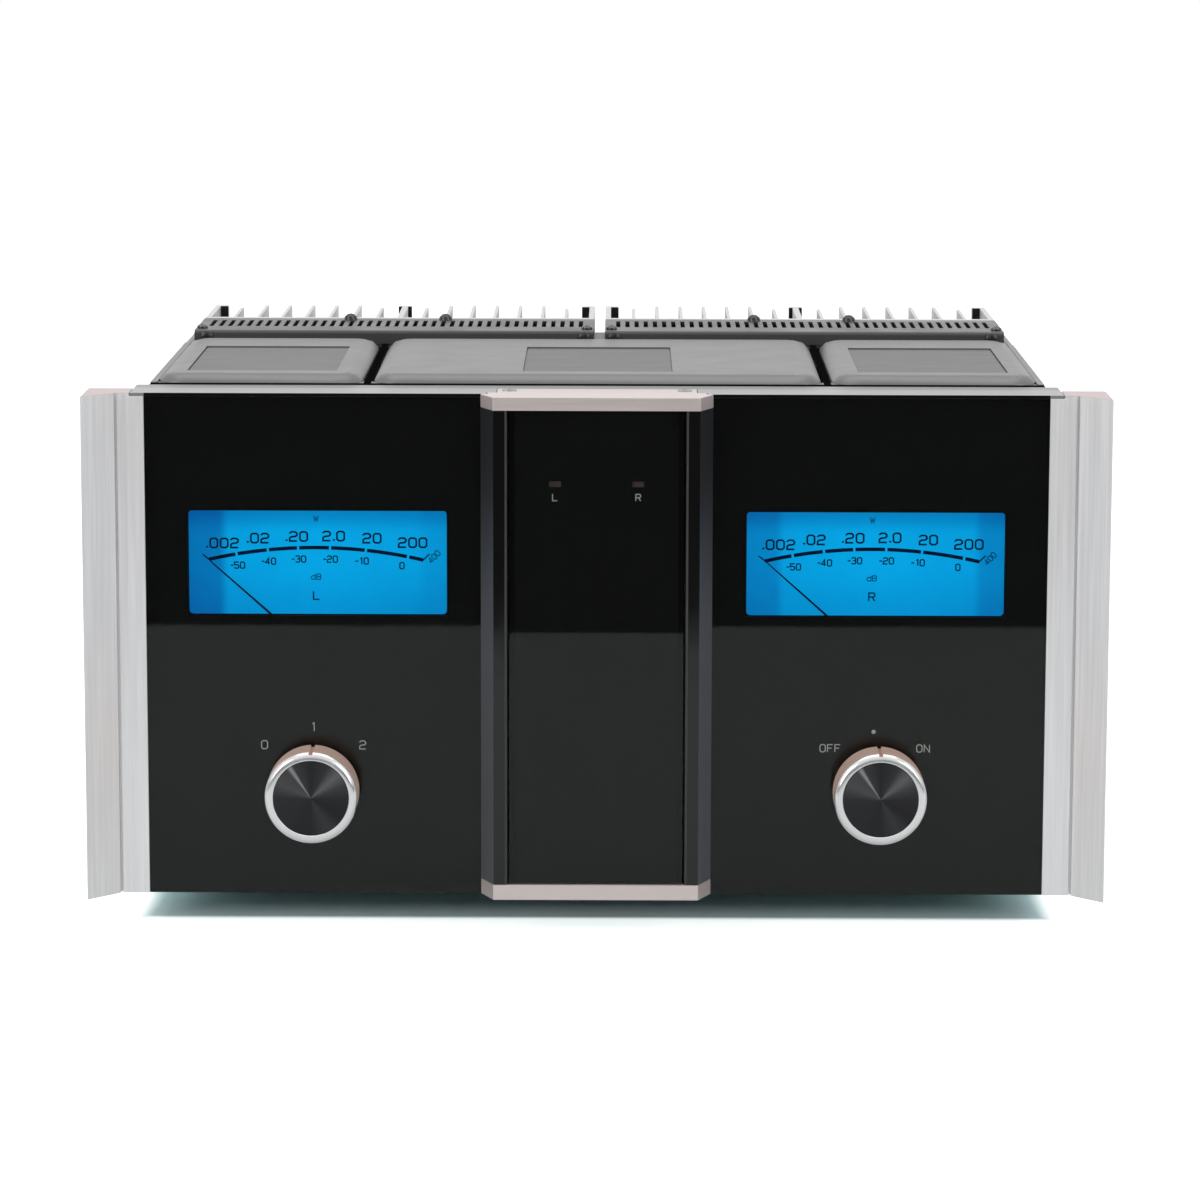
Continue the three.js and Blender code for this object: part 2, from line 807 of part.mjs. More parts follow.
for (const [name, x, width] of covers) {
  const transformer = new THREE.Group();
  transformer.position.set(x, coverCentre, 0);
  amplifier.add(transformer);
  add(`${name}_cover`, can(width), coverPaint, transformer);
  add(`${name}_core`, core(width), coreIron, transformer);
  const plate = new THREE.BoxGeometry(plateWidth, plateDepth, plateThickness);
  const plateMesh = add(`${name}_nameplate`, plate, plateMetal, transformer);
  plateMesh.position.set(0, -plateForward, plateSeat + plateThickness / 2);
}

// Heat sinks: a base plate, two sets of thin fins and thick uprights with screw bosses
function sinkOutline() {
  const half = sinkWidth / 2;
  const base = chassisDepth + sinkBase;
  const end = base + finReach;
  const fins = [];
  const setCentre = half / 2 - finSetShift;
  for (const setMiddle of [setCentre, -setCentre]) {
    for (let k = 0; k < thinFins; k += 1) {
      const x = setMiddle + ((thinFins - 1) / 2 - k) * finPitch;
      const short = k === 0 || k === thinFins - 1;
      fins.push([x, short ? end - shortFinStep : end]);
    }
  }
  const points = [[-half, chassisDepth], [half, chassisDepth]];
  const [endUpright, endBoss] = [half - uprightThickness, half - uprightThickness - bossWidth];
  points.push([half, end], [endBoss, end], [endBoss, end - bossDepth]);
  points.push([endUpright, end - bossDepth], [endUpright, base]);
  const thinFin = ([x, y]) => [
    [x + finThickness / 2, base],
    [x + finThickness / 2, y],
    [x - finThickness / 2, y],
    [x - finThickness / 2, base],
  ];
  points.push(...fins.slice(0, thinFins).flatMap(thinFin));
  const middle = middleUprightHalf;
  const middleBoss = middle + middleBossWidth;
  points.push([middle, base], [middle, end - bossDepth], [middleBoss, end - bossDepth]);
  points.push([middleBoss, end], [-middleBoss, end]);
  points.push([-middleBoss, end - bossDepth], [-middle, end - bossDepth], [-middle, base]);
  points.push(...fins.slice(thinFins).flatMap(thinFin));
  points.push([-endUpright, base], [-endUpright, end - bossDepth]);
  points.push([-endBoss, end - bossDepth], [-endBoss, end], [-half, end]);
  return outline(points);
}

// Hood over each heat sink's devices: slotted top with a bend at its front, end walls and two domed screws
function hoodSide(inset, low) {
  const bend = hoodBend - inset;
  const [front, top] = [hoodFront + inset, sinkTop - inset];
  const shape = new THREE.Shape();
  shape.moveTo(front, low);
  shape.lineTo(front, top - bend);
  shape.absarc(front + bend, top - bend, bend, Math.PI, Math.PI / 2, true);
  shape.lineTo(chassisDepth + inset, top);
  shape.lineTo(chassisDepth + inset, low);
  return shape;
}

function domedScrew(x) {
  const dome = domeShares.map((share) => {
    const turn = (share * Math.PI) / 2;
    return [domeRadius * Math.cos(turn), domeRise * Math.sin(turn)];
  });
  const foot = -sheetThickness / 2;
  const head = turned([[0, foot], [domeRadius, foot], ...dome, [0, domeRise]], smallSteps);
  return head.rotateX(Math.PI / 2).translate(x, chassisDepth - domeSetback, sinkTop);
}

function hood(sign) {
  const half = sinkWidth / 2;
  const inner = half - sheetThickness;
  const shell = sideways(hoodSide(0, deckTop), -half, half);
  const room = sideways(hoodSide(sheetThickness, deckTop - cutOverrun), -inner, inner);
  const slotFront = hoodFront + slotSetback;
  const slots = Array.from({ length: slotCount }, (_, k) => {
    const x = (k - (slotCount - 1) / 2) * slotPitch;
    const [low, high] = [sinkTop - sheetThickness - cutOverrun, sinkTop + cutOverrun];
    return block(x - slotWidth / 2, x + slotWidth / 2, slotFront, slotFront + slotLength, low, high);
  });
  const screws = [domedScrew(sign * (half - domeOuterMargin)), domedScrew(sign * (domeInnerMargin - half))];
  return join(cut(shell, room, ...slots), ...screws);
}

// Board with the output devices, which reach through the wall to the heat sink
function outputBoard() {
  const boardBack = chassisDepth - deviceReach;
  const bottom = panelBottom + outputBoardBottom;
  const board = block(
    -outputBoardWidth / 2,
    outputBoardWidth / 2,
    boardBack - boardThickness,
    boardBack,
    bottom,
    bottom + outputBoardHeight,
  );
  const pitch = outputBoardWidth / deviceCount;
  const devices = Array.from({ length: deviceCount }, (_, k) => {
    const x = (k - (deviceCount - 1) / 2) * pitch;
    const z = bottom + deviceRaise;
    return block(x - deviceWidth / 2, x + deviceWidth / 2, boardBack, chassisDepth, z, z + deviceHeight);
  });
  return join(board, ...devices);
}

for (const [side, sign] of sides) {
  const channel = new THREE.Group();
  channel.position.x = sign * sinkCentre;
  amplifier.add(channel);
  add(`${side}_heat_sink`, upright(sinkOutline(), shelfTop, sinkTop), sinkAluminium, channel);
  add(`${side}_hood`, hood(sign), hoodPaint, channel);
  add(`${side}_output_board`, outputBoard(), boardGreen, channel);
}

// Power supply board on pillars, with the rectifier and two capacitors
const supplyTop = panelBottom + supplyRaise + boardThickness;
const supplyCentre = supplyFront + supplyDepth / 2;
const supplyHalf = supplyWidth / 2;
const supply = block(
  -supplyHalf,
  supplyHalf,
  supplyFront,
  supplyFront + supplyDepth,
  panelBottom + supplyRaise,
  supplyTop,
);
const legs = [-1, 1].flatMap((a) =>
  [-1, 1].map((b) =>
    pillar(
      pillarRadius,
      panelBottom,
      supplyTop,
      a * (supplyHalf - pillarInset),
      supplyCentre + b * (supplyDepth / 2 - pillarInset),
    ),
  ),
);
const rectifier = block(
  -rectifierWidth / 2,
  rectifierWidth / 2,
  supplyCentre - rectifierWidth / 2,
  supplyCentre + rectifierWidth / 2,
  panelBottom + supplyRaise,
  supplyTop + rectifierHeight,
);
add("power_supply_board", join(supply, ...legs, rectifier), boardGreen);

const capacitorProfile = [
  [0, 0],
  [capacitorRadius, 0],
  [capacitorRadius, capacitorHeight - capacitorBead],
  [capacitorRadius - capacitorBead, capacitorHeight],
  [0, capacitorHeight],
];
for (const [side, sign] of sides) {
  const capacitor = add(`${side}_filter_capacitor`, turned(capacitorProfile), capacitorSleeve);
  capacitor.rotation.x = Math.PI / 2;
  capacitor.position.set(sign * capacitorOffset, supplyCentre, supplyTop);
}

// Feet
const footProfile = [
  [0, footRecessDepth],
  [footRecessRadius, footRecessDepth],
  [footRecessRadius, 0],
  [footBottomRadius, 0],
  [footTopRadius, footHeight],
  [0, footHeight],
];
for (const [end, y] of [["front", frontFootPlace], ["rear", rearFootPlace]]) {
  for (const [side, sign] of sides) {
    const foot = add(`${end}_${side}_foot`, turned(footProfile), rubber);
    foot.rotation.x = Math.PI / 2;
    foot.position.set(sign * footOffset, y, 0);
  }
}

// Rear panel with the shelf under the fins
const balancedPlaces = balancedShares.map((share) => inputBoardCentre + share * inputBoardWidth);
const phonoPlaces = [-1, 1].map((k) => socketLevel + (k * phonoSpacing) / 2);
const phonoLine = inputBoardCentre + phonoShare * inputBoardWidth;
const modeLine = inputBoardCentre + modeSwitchShare * inputBoardWidth;
const terminalBodyHalf = terminalPlateHeight / 2 - terminalPlateLip;
const rearSheet = block(-insideHalf, insideHalf, rearInside, lowerDepth, panelBottom, lowerTop);
const throughRear = [rearInside - cutOverrun, lowerDepth + cutOverrun];
const rearHole = (x, halfWidth, halfHeight) =>
  block(x - halfWidth, x + halfWidth, ...throughRear, socketLevel - halfHeight, socketLevel + halfHeight);
const rearOpenings = [
  ...balancedPlaces.map((x) =>
    rod(balancedRadius + fitClearance, ...throughRear, x, socketLevel, roundSteps),
  ),
  ...phonoPlaces.map((z) => rod(phonoRadius + fitClearance, ...throughRear, phonoLine, z)),
  rearHole(modeLine, modeSlotWidth / 2, modeSlotHeight / 2),
  rearHole(0, terminalHalf + fitClearance, terminalBodyHalf + fitClearance),
  rearHole(inletOffset, inletWidth / 2 + fitClearance, inletHeight / 2 + fitClearance),
];
const shelf = block(-chassisWidth / 2, chassisWidth / 2, chassisDepth, lowerDepth, lowerTop, shelfTop);
add("rear_panel", join(cut(rearSheet, ...rearOpenings), shelf), steel);

// Input board with the balanced and phono sockets and the mode switch
function inputBoard() {
  const back = rearInside - inputBoardSetback;
  const front = back - boardThickness;
  const half = inputBoardWidth / 2;
  const tall = inputBoardHeight / 2;
  const board = block(
    inputBoardCentre - half,
    inputBoardCentre + half,
    front,
    back,
    socketLevel - tall,
    socketLevel + tall,
  );
  const spacers = [-1, 1].flatMap((a) =>
    [-1, 1].map((b) =>
      rod(
        pillarRadius,
        front,
        rearInside,
        inputBoardCentre + a * (half - pillarInset),
        socketLevel + b * (tall - pillarInset),
      ),
    ),
  );
  const balancedEnd = lowerDepth + balancedProud;
  const balanced = balancedPlaces.map((x) =>
    rod(balancedRadius, front, balancedEnd, x, socketLevel, roundSteps),
  );
  const balancedBores = balancedPlaces.map((x) =>
    rod(balancedBore, balancedEnd - balancedDepth, balancedEnd + cutOverrun, x, socketLevel, roundSteps),
  );
  const pins = balancedPlaces.flatMap((x) =>
    [0, 1, 2].map((k) => {
      const angle = (k * 2 * Math.PI) / 3 + Math.PI / 2;
      const floorLevel = balancedEnd - balancedDepth;
      const px = x + pinSpread * Math.cos(angle);
      const pz = socketLevel + pinSpread * Math.sin(angle);
      return rod(pinRadius, floorLevel - cutOverrun, floorLevel + pinLength, px, pz, 8);
    }),
  );
  const phonoEnd = lowerDepth + phonoProud;
  const phonos = phonoPlaces.map((z) => rod(phonoRadius, front, phonoEnd, phonoLine, z));
  const phonoBores = phonoPlaces.map((z) =>
    rod(phonoBore, phonoEnd - phonoDepth, phonoEnd + cutOverrun, phonoLine, z),
  );
  const modeBody = block(
    modeLine - modeBodyWidth / 2,
    modeLine + modeBodyWidth / 2,
    front,
    rearInside,
    socketLevel - modeBodyHeight / 2,
    socketLevel + modeBodyHeight / 2,
  );
  const modeSlot = block(
    modeLine - modeSlotWidth / 2,
    modeLine + modeSlotWidth / 2,
    rearInside - modeSlotDepth,
    rearInside + cutOverrun,
    socketLevel - modeSlotHeight / 2,
    socketLevel + modeSlotHeight / 2,
  );
  const bodies = join(board, ...spacers, ...balanced, ...phonos, modeBody);
  return join(cut(bodies, ...balancedBores, ...phonoBores, modeSlot), ...pins);
}
add("input_board", inputBoard(), boardGreen);

const leverHalf = modeSlotHeight / 2 - fitClearance;
const lever = add(
  "mode_switch_lever",
  block(
    -leverWidth / 2,
    leverWidth / 2,
    rearInside - modeSlotDepth,
    lowerDepth + leverProud,
    -leverHalf,
    leverHalf,
  ),
  terminalPlastic,
);
lever.position.set(modeLine - modeTravel / 2, 0, socketLevel);

// Speaker terminal block with its studs, and a cap on each stud
const plateBack = lowerDepth + terminalPlateThickness;
const studPlaces = Array.from(
  { length: terminalCount },
  (_, k) => (k - (terminalCount - 1) / 2) * terminalSpacing,
);
const terminalPlate = block(
  -terminalHalf - terminalPlateLip,
  terminalHalf + terminalPlateLip,
  lowerDepth,
  plateBack,
  socketLevel - terminalPlateHeight / 2,
  socketLevel + terminalPlateHeight / 2,
);
const terminalBody = block(
  -terminalHalf,
  terminalHalf,
  lowerDepth - terminalBodyDepth,
  plateBack,
  socketLevel - terminalBodyHalf,
  socketLevel + terminalBodyHalf,
);
const studs = studPlaces.map((x) => rod(studRadius, lowerDepth, plateBack + studReach, x, socketLevel));
add("speaker_terminal_block", join(terminalPlate, terminalBody, ...studs), terminalPlastic);

const capBore = studReach + boreRunout - terminalCapGap;
const capProfile = [
  [0, capBore],
  [studRadius + fitClearance, capBore],
  [studRadius + fitClearance, 0],
  [terminalCapRadius, 0],
  [terminalCapRadius, terminalCapRib],
  [terminalCapWaist, terminalCapRib],
  [terminalCapWaist, terminalCapLength - terminalCapRib],
  [terminalCapRadius, terminalCapLength - terminalCapRib],
  [terminalCapRadius, terminalCapLength],
  [0, terminalCapLength],
];
studPlaces.forEach((x, k) => {
  const side = k < terminalCount / 2 ? "left" : "right";
  const number = (k % (terminalCount / 2)) + 1;
  const cap = add(`${side}_terminal_cap_${number}`, turned(capProfile, smallSteps), terminalGold);
  cap.position.set(x, plateBack + terminalCapGap, socketLevel);
});

// Mains inlet with its blades, and the fuse drawer below it
const mouthLevel = inletMouthRaise;
const drawerLevel = -drawerDrop;
const inletFace = lowerDepth + inletFlangeThickness;
const inlet = new THREE.Group();
inlet.position.set(inletOffset, 0, socketLevel);
amplifier.add(inlet);
const inletBody = block(
  -inletWidth / 2,
  inletWidth / 2,
  lowerDepth - inletBodyDepth,
  inletFace,
  -inletHeight / 2,
  inletHeight / 2,
);
const inletPlate = block(
  -inletWidth / 2 - inletFlange,
  inletWidth / 2 + inletFlange,
  lowerDepth,
  inletFace,
  -inletHeight / 2 - inletFlange,
  inletHeight / 2 + inletFlange,
);
const mouth = block(
  -inletMouthWidth / 2,
  inletMouthWidth / 2,
  inletFace - inletMouthDepth,
  inletFace + cutOverrun,
  mouthLevel - inletMouthHeight / 2,
  mouthLevel + inletMouthHeight / 2,
);
const drawerRoom = block(
  -drawerWidth / 2 - fitClearance,
  drawerWidth / 2 + fitClearance,
  inletFace - drawerDepth - fitClearance,
  inletFace + cutOverrun,
  drawerLevel - drawerHeight / 2 - fitClearance,
  drawerLevel + drawerHeight / 2 + fitClearance,
);
const bladePlaces = [[-1, -1], [1, -1], [0, 1]];
const blades = bladePlaces.map(([a, b]) => {
  const x = a * bladeSpread;
  const z = mouthLevel + (b * bladeHeight) / 2;
  const y = inletFace - inletMouthDepth;
  return block(
    x - bladeWidth / 2,
    x + bladeWidth / 2,
    y - cutOverrun,
    y + bladeLength,
    z - bladeHeight / 2,
    z + bladeHeight / 2,
  );
});
const inletShell = cut(join(inletBody, inletPlate), mouth, drawerRoom);
add("mains_inlet", join(inletShell, ...blades), terminalPlastic, inlet);

const drawerBody = block(
  -drawerWidth / 2,
  drawerWidth / 2,
  inletFace - drawerDepth,
  inletFace + drawerLipThickness,
  -drawerHeight / 2,
  drawerHeight / 2,
);
const drawerFace = block(
  -drawerWidth / 2 - drawerLip,
  drawerWidth / 2 + drawerLip,
  inletFace,
  inletFace + drawerLipThickness,
  -drawerHeight / 2 - drawerLip,
  drawerHeight / 2 + drawerLip,
);
const drawer = add("fuse_drawer", join(drawerBody, drawerFace), terminalPlastic, inlet);
drawer.position.z = drawerLevel;

export default amplifier;
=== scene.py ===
import math

import bmesh
import bpy
from mathutils import Matrix, Vector


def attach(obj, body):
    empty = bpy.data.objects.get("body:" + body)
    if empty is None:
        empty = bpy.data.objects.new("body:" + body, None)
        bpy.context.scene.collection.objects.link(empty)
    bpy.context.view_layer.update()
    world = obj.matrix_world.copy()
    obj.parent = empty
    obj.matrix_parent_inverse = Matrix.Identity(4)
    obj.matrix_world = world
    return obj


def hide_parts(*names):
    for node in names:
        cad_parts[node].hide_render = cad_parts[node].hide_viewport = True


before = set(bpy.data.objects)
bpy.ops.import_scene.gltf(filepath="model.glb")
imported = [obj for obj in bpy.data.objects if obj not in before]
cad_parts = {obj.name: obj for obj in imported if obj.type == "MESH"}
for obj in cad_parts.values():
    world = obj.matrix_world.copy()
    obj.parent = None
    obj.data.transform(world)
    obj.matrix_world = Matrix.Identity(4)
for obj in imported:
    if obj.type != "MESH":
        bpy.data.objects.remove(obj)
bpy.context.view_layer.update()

# Millimetres become metres, and a depth is counted from the front of the glass
MM = 0.001
GLASS_FRONT = -0.1616


def place(x, y, z):
    return Vector((x * MM, GLASS_FRONT + y * MM, z * MM))


# --- sizes shared with the solids, in mm
# An X is counted from the middle plane, and a front, back or face is a depth behind the glass front
SIDES = (("left", -1), ("right", 1))
PANEL_TOP = 237.5
FLOOR_BOTTOM = 14.5
WALL_X = 197.1
GLASS_X = 196.4

# The cans, and the inner edge of the lip beside them
CAN_X = 195.3
CAN_FRONT = 36.9
CAN_BACK = 200.4
LIP_X = 194.3
# The deck's front edge, its bright strip, and the start of the black sheet that paints the shade round the
# cans
DECK_EDGE = 0.12
STRIP = (19.3, 31.05)
SHADE_SHEET_FRONT = 31.2
# The centre frame's face, its ledge and bevel beside the glass, and the heights over which painted shade
# darkens its flank
FRAME_FACE = -13.25
FRAME_LEDGE = 38.75
FRAME_BEVEL = (38.8, 39.7)
FLANK_SHADE = (120, 215)

# The heat sinks, and their screw bosses as bands off the middle of each
SINK_TOP = 243.9
SINK_X = 97.7
SINK_BOSSES = ((88.5, 92.3), (1.5, 3.3))
BOSS_FACE = (315.9, 316.4)
HOOD_FRONT = 200.7

REAR_FACE = 319.2
SOCKET_FRONT = 308
SOCKET_Z = 57
BALANCED_X = (-172.08, -140.76)
PHONO_X = -113.92
TERMINAL_FACE = 322.2
TERMINAL_PITCH = 19.56
CAP_BASE = 323.2

WINDOW_X = 121.9
WINDOW_Z = 162.35
WINDOW_WIDTH = 113.2
WINDOW_HEIGHT = 46.3
MASK_BACK = 8.3
DIAL_FACE = 13.8
NEEDLE_FRONT = 10.6
NEEDLE_PIVOT = 120.3
NEEDLE_LENGTH = 63.1
NEEDLE_TAIL = 7
NEEDLE_REST = 48.4
HUB_RADIUS = 3.4
HUB_THICKNESS = 2.4
SPINDLE_LENGTH = 15

KNOB_X = 124
KNOB_Z = 62.5
KNOB_RADIUS = 20.2
KNOB_FRONT = -20
KNOB_BACK = -0.8
STEM_LENGTH = 20.8
DISC_RADIUS = 16.6
DISC_BACK = -18.8
DISC_THICKNESS = 0.9

INDICATOR_X = 18
INDICATOR_Z = 199.3
CENTRE_GLASS_FRONT = -11.5
CENTRE_MASK_BACK = -8.2
LENS_BACK = -8.0
# A bound past everything
FAR = 400


# --- shader trees
# The stretch of noise that makes lines drawn along an axis
ALONG_X = (0.02, 1, 1)
ALONG_Y = (1, 0.02, 1)
ALONG_Z = (1, 1, 0.02)
LOOKS = {}


class Shading:
    """Adds nodes to a shader tree; each input gets a value or the output of another node."""

    def __init__(self, tree):
        self.tree = tree

    def node(self, kind, inputs=None, **settings):
        made = self.tree.nodes.new(kind)
        for key, value in settings.items():
            setattr(made, key, value)
        for key, value in (inputs or {}).items():
            if isinstance(value, bpy.types.NodeSocket):
                self.tree.links.new(value, made.inputs[key])
            else:
                made.inputs[key].default_value = value
        return made.outputs

    def ramp(self, value, low, high, start=0.3, end=0.7, smooth=False):
        """Maps start..end of a value to low..high."""
        kind = "SMOOTHSTEP" if smooth else "LINEAR"
        ends = {"From Min": start, "From Max": end, "To Min": low, "To Max": high}
        return self.node("ShaderNodeMapRange", {"Value": value, **ends}, interpolation_type=kind)["Result"]

    def mix(self, factor, first, second, blend="MIX"):
        """Mixes two colours, each a tuple or an output."""
        first, second = ((*tone, 1) if isinstance(tone, tuple) else tone for tone in (first, second))
        inputs = {0: factor, 6: first, 7: second}
        return self.node("ShaderNodeMix", inputs, data_type="RGBA", blend_type=blend)[2]

    def maths(self, operation, first, second=0.5):
        return self.node("ShaderNodeMath", {0: first, 1: second}, operation=operation)[0]


class Finish(Shading):
    """A Principled material built up from noise in the object's own coordinates, kept in LOOKS."""

    def __init__(self, name):
        material = bpy.data.materials.new(name)
        material.use_nodes = True
        super().__init__(material.node_tree)
        self.shader = self.tree.nodes["Principled BSDF"]
        self.coords = self.node("ShaderNodeTexCoord")["Object"]
        LOOKS[name] = material

    def set(self, **sockets):
        for key, value in sockets.items():
            self.shader.inputs[key.replace("_", " ")].default_value = value
        return self

    def link(self, socket, output):
        self.tree.links.new(output, self.shader.inputs[socket])

    def color(self, output):
        self.link("Base Color", output)

    def roughness(self, output):
        self.link("Roughness", output)

    def bump(self, height, depth):
        """Bumps of depth millimetres."""
        inputs = {"Height": height, "Strength": 1, "Distance": depth * MM}
        self.link("Normal", self.node("ShaderNodeBump", inputs)["Normal"])

    def noise(self, size, stretch=(1, 1, 1), detail=3):
        """Noise whose features are about size millimetres across."""
        where = self.node("ShaderNodeMapping", {"Vector": self.coords, "Scale": stretch})["Vector"]
        inputs = {"Vector": where, "Scale": 1 / (size * MM), "Detail": detail}
        return self.node("ShaderNodeTexNoise", inputs)["Fac"]

    def axis(self, name):
        return self.node("ShaderNodeSeparateXYZ", {0: self.coords})[name]

    def side(self):
        """The distance from the middle, in metres."""
        return self.maths("ABSOLUTE", self.axis("X"))

    def depth(self):
        """The depth behind the front of the glass, in metres."""
        return self.maths("SUBTRACT", self.axis("Y"), GLASS_FRONT)

    def between(self, value, low, high, edge=0.05):
        """One where a value in metres lies between two in millimetres, and zero elsewhere."""
        rise = self.ramp(value, 0.0, 1.0, (low - edge) * MM, low * MM)
        fall = self.ramp(value, 1.0, 0.0, high * MM, (high + edge) * MM)
        return self.maths("MULTIPLY", rise, fall)


def shade(color, share):
    return tuple(min(1, channel * share) for channel in color)


def painted(name, color, rough, grain=1.2, depth=0.002, gloss=0.5, flake=0):
    """Sprayed paint: a fine orange peel and slow clouds in tone; flake is its share of metal."""
    finish = Finish(name).set(Metallic=flake, Specular_IOR_Level=gloss)
    finish.color(finish.mix(finish.noise(60), shade(color, 0.94), shade(color, 1.06)))
    finish.roughness(finish.ramp(finish.noise(20), rough - 0.02, rough + 0.03))
    finish.bump(finish.noise(grain, detail=2), depth)


def brushed(name, color, rough, stretch, metallic, line=0.5):
    """Bare metal with fine lines drawn along the axis whose stretch is small."""
    finish = Finish(name).set(Metallic=metallic)
    lines = finish.noise(line, stretch, detail=4)
    bands = finish.noise(14, stretch, detail=2)
    tone = finish.mix(lines, shade(color, 0.95), shade(color, 1.05))
    finish.color(finish.mix(finish.ramp(bands, 0.0, 0.5), tone, shade(color, 0.94)))
    finish.roughness(finish.ramp(lines, rough - 0.05, rough + 0.08))
    finish.bump(lines, 0.004)


def satin(name, color, rough, metallic=1.0):
    """Bead-blasted or anodised metal with an even fine grain."""
    finish = Finish(name).set(Metallic=metallic)
    finish.color(finish.mix(finish.noise(45), shade(color, 0.96), shade(color, 1.04)))
    finish.roughness(finish.ramp(finish.noise(12), rough - 0.04, rough + 0.05))
    finish.bump(finish.noise(0.35, detail=2), 0.003)


def moulded(name, color, rough, depth=0.02, gloss=0.5):
    """Moulded plastic, rubber or ink with a light texture."""
    finish = Finish(name).set(Specular_IOR_Level=gloss)
    finish.color(finish.mix(finish.noise(20), shade(color, 0.85), shade(color, 1.2)))
    finish.roughness(finish.ramp(finish.noise(6), rough - 0.06, rough + 0.06))
    finish.bump(finish.noise(0.5, detail=2), depth)


def front_glass():
    """Clear glass with the faintest unevenness in its polish."""
    finish = Finish("front_glass").set(Transmission_Weight=1, IOR=1.27)
    dust = finish.noise(0.8, detail=1)
    finish.color(finish.mix(finish.ramp(dust, 0.0, 1.0, 0.2, 0.4), (0.78, 0.81, 0.8), (0.81, 0.84, 0.83)))
    finish.roughness(finish.ramp(finish.noise(30), 0.004, 0.02))


def lit_dial(name, centre, left_shade, right_shade):
    """A translucent blue dial whose light from behind is painted in as its own glow, dimmed by painted shade
    under its frame, towards its bottom and away from its middle.
    """
    finish = Finish(name).set(Emission_Strength=1.0, Roughness=0.6, Specular_IOR_Level=0)
    across = finish.maths("SUBTRACT", finish.axis("X"), centre * MM)
    across = finish.maths("DIVIDE", across, WINDOW_WIDTH / 2 * MM)
    up = finish.maths("SUBTRACT", finish.axis("Z"), WINDOW_Z * MM)
    up = finish.maths("DIVIDE", up, WINDOW_HEIGHT / 2 * MM)
    # Painted shade under the frame's edges, towards the bottom and away from the middle
    left = finish.ramp(across, left_shade, 1.0, -0.78, -0.69, smooth=True)
    right = finish.ramp(across, 1.0, right_shade, 0.76, 0.84, smooth=True)
    top = finish.ramp(up, 1.0, 0.66, 0.5, 0.9, smooth=True)
    low = finish.ramp(up, 0.8, 1.0, -1.0, 0.1, smooth=True)
    middle = finish.ramp(finish.maths("ABSOLUTE", across), 1.0, 0.9, 0.0, 0.9, smooth=True)
    light = finish.ramp(finish.noise(9), 0.98, 1.02)
    for share in (left, right, top, low, middle):
        light = finish.maths("MULTIPLY", light, share)
    # The glow is painted light, standing in for the lamp behind the dial
    painted_glow = finish.mix(finish.ramp(light, 0.0, 1.0, 0.3, 1.0), (0.0, 0.105, 0.385), (0.0, 0.394, 0.84))
    finish.link("Emission Color", painted_glow)
    finish.color(finish.mix(finish.noise(9), (0.0, 0.1, 0.22), (0.0, 0.13, 0.26)))


# Painted highlight rays on the spun disc: its tone by the share of a turn, from the left round by the bottom
DISC_HIGHLIGHT_RAYS = ((0.0, 0.045), (0.25, 0.03), (0.33, 0.055), (0.4, 0.032), (0.5, 0.04), (0.56, 0.07),
             (0.615, 0.15), (0.67, 0.05), (0.75, 0.03), (0.828, 0.06), (0.844, 0.34), (0.86, 0.08),
             (0.93, 0.1), (1.0, 0.045))


def spun_disc():
    """A dark disc with turned rings and an anisotropic sheen, and highlight rays from its middle painted
    into its tone.
    """
    finish = Finish("spun_disc").set(Metallic=1, Anisotropic=0.9)
    finish.link("Tangent", finish.node("ShaderNodeTangent", direction_type="RADIAL", axis="Z")[0])
    # The rays are painted highlights, laid out by angle round the disc
    turn = finish.node("ShaderNodeTexGradient", {"Vector": finish.coords}, gradient_type="RADIAL")["Fac"]
    painted_rays = finish.node("ShaderNodeValToRGB", {"Fac": turn})["Color"]
    stops = painted_rays.node.color_ramp.elements
    for angle, _ in DISC_HIGHLIGHT_RAYS[1:-1]:
        stops.new(angle)
    for stop, (angle, tone) in zip(stops, DISC_HIGHLIGHT_RAYS):
        stop.position = angle
        stop.color = (tone, tone, tone * 1.05, 1)
    grain = finish.mix(finish.noise(0.4, detail=4), (0.72, 0.72, 0.72), (1.2, 1.2, 1.2))
    finish.color(finish.mix(1.0, painted_rays, grain, "MULTIPLY"))
    finish.roughness(finish.ramp(finish.noise(0.25, detail=4), 0.2, 0.3))
    rings = finish.node("ShaderNodeTexWave", {"Vector": finish.coords, "Scale": 1050}, wave_type="RINGS",
                        rings_direction="Z")
    finish.bump(rings["Fac"], 0.004)


def printed_board():
    """Green boards with faint tracks, black sockets at the back and a red lens on each indicator."""
    finish = Finish("printed_board")
    tracks = finish.ramp(finish.noise(3, (1, 1, 0.3)), 0.0, 1.0, 0.48, 0.52)
    green = finish.mix(tracks, (0.008, 0.075, 0.03), (0.012, 0.12, 0.05))
    lens = finish.between(finish.depth(), -FAR, LENS_BACK, 0.1)
    socket = finish.between(finish.depth(), SOCKET_FRONT, FAR)
    body = finish.mix(socket, green, (0.014, 0.014, 0.014))
    finish.color(finish.mix(lens, body, (0.07, 0.045, 0.04)))
    finish.roughness(finish.ramp(tracks, 0.45, 0.3, 0.0, 1.0))
    finish.bump(tracks, 0.05)


def laminated_core():
    """Stacked varnished sheets, seen as fine level lines, round a taped coil."""
    finish = Finish("laminated_core").set(Metallic=0.4)
    sheets = finish.noise(0.5, (0.02, 1, 0.02), detail=2)
    finish.color(finish.mix(sheets, (0.05, 0.045, 0.04), (0.12, 0.105, 0.09)))
    finish.roughness(finish.ramp(sheets, 0.45, 0.65))
    finish.bump(sheets, 0.2)


